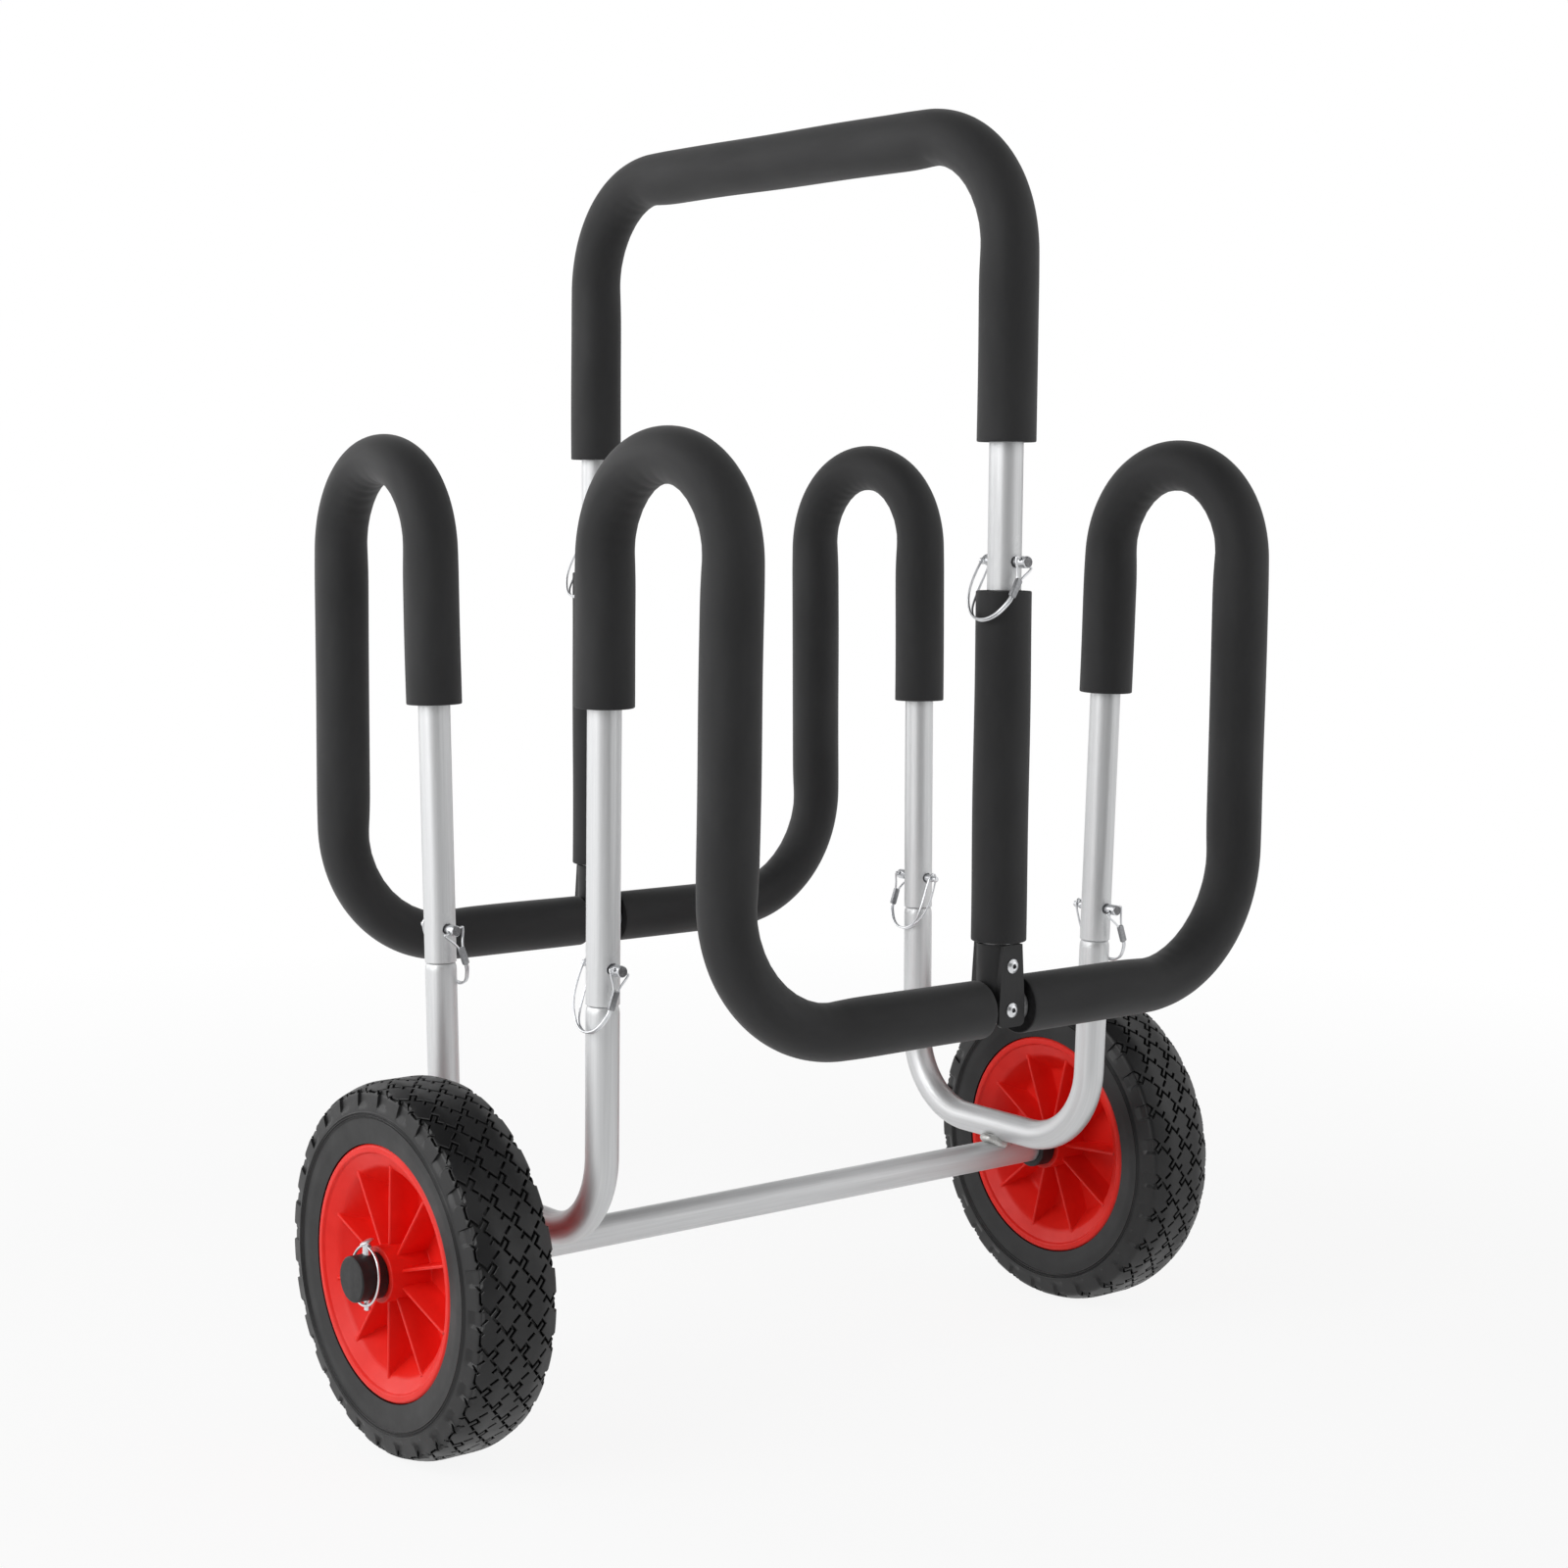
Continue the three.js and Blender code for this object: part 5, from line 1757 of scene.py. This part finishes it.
@dataclass
class Bracket:
    """A black moulded bracket that holds a post on a crossbar: a round socket on top and two ears below."""

    end: End
    cart: Cart = CART
    radius: float = 14.1
    top: float = 43.0
    floor: float = 14.0
    ear: float = 11.3
    ear_top: float = 8.5
    ear_corner: float = 5.0
    rivet_head: float = 4.8
    pit: float = 1.6
    edge: float = 0.7
    slot_half: float = 16.0

    def ears(self) -> bpy.types.Object:
        """The two ears as one block through the socket: round corners below, and narrower at the top.

        Returns:
            The block as an object.
        """
        ear, corner = self.ear, self.ear_corner
        outline = rounded([
            (self.ear_top, self.top, 0.0), (ear, 2.0, 6.0), (ear, -ear, corner), (-ear, -ear, corner),
            (-ear, 2.0, 6.0), (-self.ear_top, self.top, 0.0),
        ], steps=8)
        middle = outline.mean(axis=0)
        rings = [
            np.column_stack([
                middle[0] + (outline[:, 0] - middle[0]) * share, np.full(len(outline), depth),
                middle[1] + (outline[:, 1] - middle[1]) * share,
            ])
            for depth, shares in ((-self.radius, (0.0, 1.0)), (self.radius, (1.0, 0.0))) for share in shares
        ]
        patch = Patch(np.stack(rings) + self.cart.post(self.end, self.cart.crossbar_height))
        return put("ears", Piece("ears", BLACK_NYLON, [patch]).mesh())

    def body(self) -> None:
        """The moulding: ears and socket joined, then cut for the crossbar, the post and two rivets."""
        cart = self.cart
        bore = cart.tube + cart.seat_gap
        centre = cart.post(self.end, cart.crossbar_height)
        up = np.array([0.0, 0.0, 1.0])
        reach = (0.0, self.radius + OVERCUT, 0.0)
        block = self.ears()
        carve(block, [tool_rod(centre, centre + up * self.top, self.radius, 96)], Shaping.JOIN)
        side = self.slot_half
        slot_points = np.array([
            [[x, y, z] for x, y in ((-side, -bore), (side, -bore), (side, bore), (-side, bore))]
            for z in (-side, 0.0)
        ])
        caps = np.concatenate([slot_points[:1].mean(axis=1, keepdims=True).repeat(4, axis=1), slot_points,
                               slot_points[1:].mean(axis=1, keepdims=True).repeat(4, axis=1)])
        slot = put("slot", Piece("slot", BLACK_NYLON, [Patch(caps + centre)]).mesh())
        carve(block, [
            slot, hole(centre, (self.slot_half + OVERCUT, 0.0, 0.0), bore, 64),
            tool_rod(centre + up * self.floor, centre + up * (self.top + OVERCUT), bore, 64),
            hole(centre, reach, cart.rivet_hole, 24),
            hole(cart.post(self.end, cart.upper_rivet), reach, cart.rivet_hole, 24),
        ], Shaping.CUT)
        block.name = f"bracket_moulding_{self.end.word}"
        Piece(block.name, BLACK_NYLON, [], nodes=(f"bracket_{self.end.word}",), bevel=self.edge).dress(block)

    def rivet(self, name: str, height: float) -> None:
        """A blind rivet along Y: a domed head at the front, with its pit coloured dark, partly the broken stem's
        steel and partly painted shade of the hole, and a tail.
        """
        head, shank = self.rivet_head, self.cart.rivet_hole - 0.2
        face = self.radius
        corners = [
            (-face - 3.0, 0.0, 0.0), (-face - 3.0, 1.9, 0.6), (-face - 1.6, 3.4, 0.8), (-face, 3.5, 0.3),
            (-face, shank, 0.0), (face, shank, 0.0), (face, head, 0.1), (face + 0.45, head, 0.3),
            (face + 1.7, head * 0.62, 1.6), (face + 2.1, 2.1, 0.5), (face + 1.7, 1.45, 0.3),
            (face + 0.3, 1.25, 0.3), (face + 0.5, 0.0, 0.0),
        ]
        start = self.cart.post(self.end, height)
        route = straight(start, start + np.array([0.0, -1.0, 0.0]), (0.0, 0.0, 1.0))
        piece = Piece(f"{name}_rivet_head_{self.end.word}", ZINC, [swept(route, rounded(corners, steps=4), 40)],
                      nodes=(f"{name}_rivet_{self.end.word}",)).build()
        centres = face_values(piece, "center") / MM - start
        # The pit's faces take the dark steel: the broken stem's own steel, and painted shade of the deep hole that
        # the shallow pit stands for.
        stem_and_pit_shade = (-centres[:, 1] > face) & (np.hypot(centres[:, 0], centres[:, 2]) < self.pit)
        second_finish(piece, DARK_STEEL_AND_PIT_SHADE, stem_and_pit_shade)

    def build(self) -> None:
        """Makes the bracket and its two rivets."""
        self.body()
        self.rivet("lower", self.cart.crossbar_height)
        self.rivet("upper", self.cart.upper_rivet)


# Studio


@dataclass(frozen=True)
class Lamp:
    """A square soft box: where it stands, what it looks at, its side in metres and its power in watts."""

    name: str
    place: tuple[float, float, float]
    target: tuple[float, float, float]
    side: float
    power: float


@dataclass(frozen=True)
class Card:
    """A grey card that shades reflections: place, width and height in metres, tip and turn in degrees, colour."""

    name: str
    place: tuple[float, float, float]
    size: tuple[float, float]
    turn: tuple[float, float]
    colour: str


@dataclass
class Studio:
    """The pale floor, the soft light and the camera of the photograph."""

    lamps: tuple[Lamp, ...] = (
        Lamp("key", (-2.7, 0.1, 1.5), (0.0, 0.0, 0.35), 2.0, 40.0),
        Lamp("fill", (2.2, -2.4, 1.6), (0.0, 0.0, 0.4), 2.0, 7.5),
        Lamp("rim", (-1.8, 2.4, 1.2), (0.0, 0.0, 0.5), 1.6, 13.0),
    )
    world_level: float = 0.46
    floor_half: float = 30.0
    floor_colour: str = "f4f4f4"
    floor_veil: tuple[float, float] = (0.9, 1.0)
    floor_reach: tuple[float, float] = (0.7, 1.9)
    cards: tuple[Card, ...] = (
        Card("camera_card", (-1.16, -2.9, 1.3), (4.2, 2.6), (0.0, -38.55), "888888"),
        Card("ceiling_card", (0.0, 0.3, 2.5), (3.6, 3.6), (90.0, 0.0), "606060"),
    )
    camera_place: tuple[float, float, float] = (-1.1936, -1.5034, 0.6291)
    yaw: float = -38.55
    pitch: float = 5.98
    roll: float = 0.46
    lens: float = 61.65
    sensor: float = 36.0

    def seen(self, tree: bpy.types.NodeTree) -> bpy.types.NodeSocket:
        """One for rays from the camera, from gloss and through glass, and nought for the rest."""
        path = add_node(tree, "ShaderNodeLightPath")
        sum_one = add_node(
            tree, "ShaderNodeMath", {0: path.outputs["Is Camera Ray"], 1: path.outputs["Is Glossy Ray"]},
            operation="MAXIMUM",
        )
        return add_node(
            tree, "ShaderNodeMath", {0: sum_one.outputs[0], 1: path.outputs["Is Transmission Ray"]},
            operation="MAXIMUM",
        ).outputs[0]

    def world(self) -> None:
        """A white world that is seen at full white and lights the cart at a lower level."""
        world = bpy.data.worlds.new("studio")
        tree = empty_tree(world)
        level = map_range(tree, self.seen(tree), (0.0, 1.0), (self.world_level, 1.0))
        back = add_node(tree, "ShaderNodeBackground", {"Color": linear("ffffff"), "Strength": level})
        add_node(tree, "ShaderNodeOutputWorld", {"Surface": back.outputs["Background"]})
        bpy.context.scene.world = world

    def floor(self) -> None:
        """A wide pale floor of matt paint, lifted to white: less where the shadow falls, and wholly far out."""
        made = bpy.data.materials.new("matt studio floor paint")
        tree = empty_tree(made)
        paint = add_node(tree, "ShaderNodeBsdfDiffuse", {"Color": linear(self.floor_colour)})
        glow = add_node(tree, "ShaderNodeEmission", {"Color": linear("ffffff"), "Strength": 1.0})
        place = add_node(tree, "ShaderNodeTexCoord").outputs["Object"]
        distance = add_node(tree, "ShaderNodeVectorMath", {0: place}, operation="LENGTH").outputs["Value"]
        lift = map_range(tree, distance, self.floor_reach, self.floor_veil)
        veil = add_node(tree, "ShaderNodeMath", {0: self.seen(tree), 1: lift}, operation="MULTIPLY")
        mixed = add_node(
            tree, "ShaderNodeMixShader",
            {0: veil.outputs[0], 1: paint.outputs["BSDF"], 2: glow.outputs["Emission"]},
        )
        add_node(tree, "ShaderNodeOutputMaterial", {"Surface": mixed.outputs["Shader"]})
        side = self.floor_half
        floor = self.sheet("studio_floor", [
            (-side, -side, 0), (side, -side, 0), (side, side, 0), (-side, side, 0),
        ], made)

    @staticmethod
    def sheet(name: str, corners: Sequence[tuple], material: bpy.types.Material) -> bpy.types.Object:
        """Makes a flat sheet.

        Args:
            name: the sheet's name.
            corners: its four corners in metres.
            material: its material.

        Returns:
            The object.
        """
        mesh = bpy.data.meshes.new(name)
        mesh.from_pydata(corners, [], [(0, 1, 2, 3)])
        mesh.materials.append(material)
        return put(name, mesh)

    def card(self, card: Card) -> None:
        """Sets up one grey card, which the camera doesn't see.

        Args:
            card: the card's place, size, turn and colour.
        """
        wide, high = (size / 2.0 for size in card.size)
        made = bpy.data.materials.new(f"{card.name} paper")
        tree = empty_tree(made)
        paint = add_node(tree, "ShaderNodeBsdfDiffuse", {"Color": linear(card.colour)})
        add_node(tree, "ShaderNodeOutputMaterial", {"Surface": paint.outputs["BSDF"]})
        board = self.sheet(card.name, [
            (-wide, 0, -high), (wide, 0, -high), (wide, 0, high), (-wide, 0, high),
        ], made)
        board.location = card.place
        board.rotation_euler = (math.radians(card.turn[0]), 0.0, math.radians(card.turn[1]))
        board.visible_camera = False

    def light(self, lamp: Lamp) -> None:
        """Sets up one soft box."""
        data = bpy.data.lights.new(lamp.name, "AREA")
        data.size = lamp.side
        data.energy = lamp.power
        place, target = Vector(lamp.place), Vector(lamp.target)
        aim = (place - target).to_track_quat("Z", "Y").to_matrix().to_4x4()
        put(lamp.name, data).matrix_world = Matrix.Translation(place) @ aim

    def camera(self) -> None:
        """The photograph's camera, from its place, yaw, pitch and roll."""
        data = bpy.data.cameras.new("photo_camera")
        data.lens = self.lens
        data.sensor_width = self.sensor
        data.clip_end = 100.0
        yaw, pitch, roll = (math.radians(value) for value in (self.yaw, self.pitch, self.roll))
        back = Vector((math.sin(yaw) * math.cos(pitch), -math.cos(yaw) * math.cos(pitch), math.sin(pitch)))
        right = Vector((math.cos(yaw), math.sin(yaw), 0.0))
        up = back.cross(right)
        level_right = right * math.cos(roll) + up * math.sin(roll)
        level_up = up * math.cos(roll) - right * math.sin(roll)
        turn = Matrix((level_right, level_up, back)).transposed().to_4x4()
        camera = put("photo_camera", data)
        camera.matrix_world = Matrix.Translation(Vector(self.camera_place)) @ turn
        bpy.context.scene.camera = camera

    def build(self) -> None:
        """Sets up the studio."""
        bpy.context.scene.view_settings.view_transform = "Standard"
        self.world()
        self.floor()
        for card in self.cards:
            self.card(card)
        for lamp in self.lamps:
            self.light(lamp)
        self.camera()


def main() -> None:
    """Builds the cart from its sub-assemblies, in order, and then the studio."""
    logging.basicConfig(level=logging.INFO, format="%(message)s")
    tubes = Tubes()
    tubes.build()
    Sleeves(tubes).build()
    tyre = TyreShape().mesh()
    for side in Side:
        end = AxleEnd(side, tyre)
        end.build()
        LockPin(half=end.pin_half).make_wheel_pin(side, CART.wheel_pin_x, end.pin_height)
    FramePins().build()
    for end in End:
        Bracket(end).build()
    Studio().build()


if __name__ == "__main__":
    main()
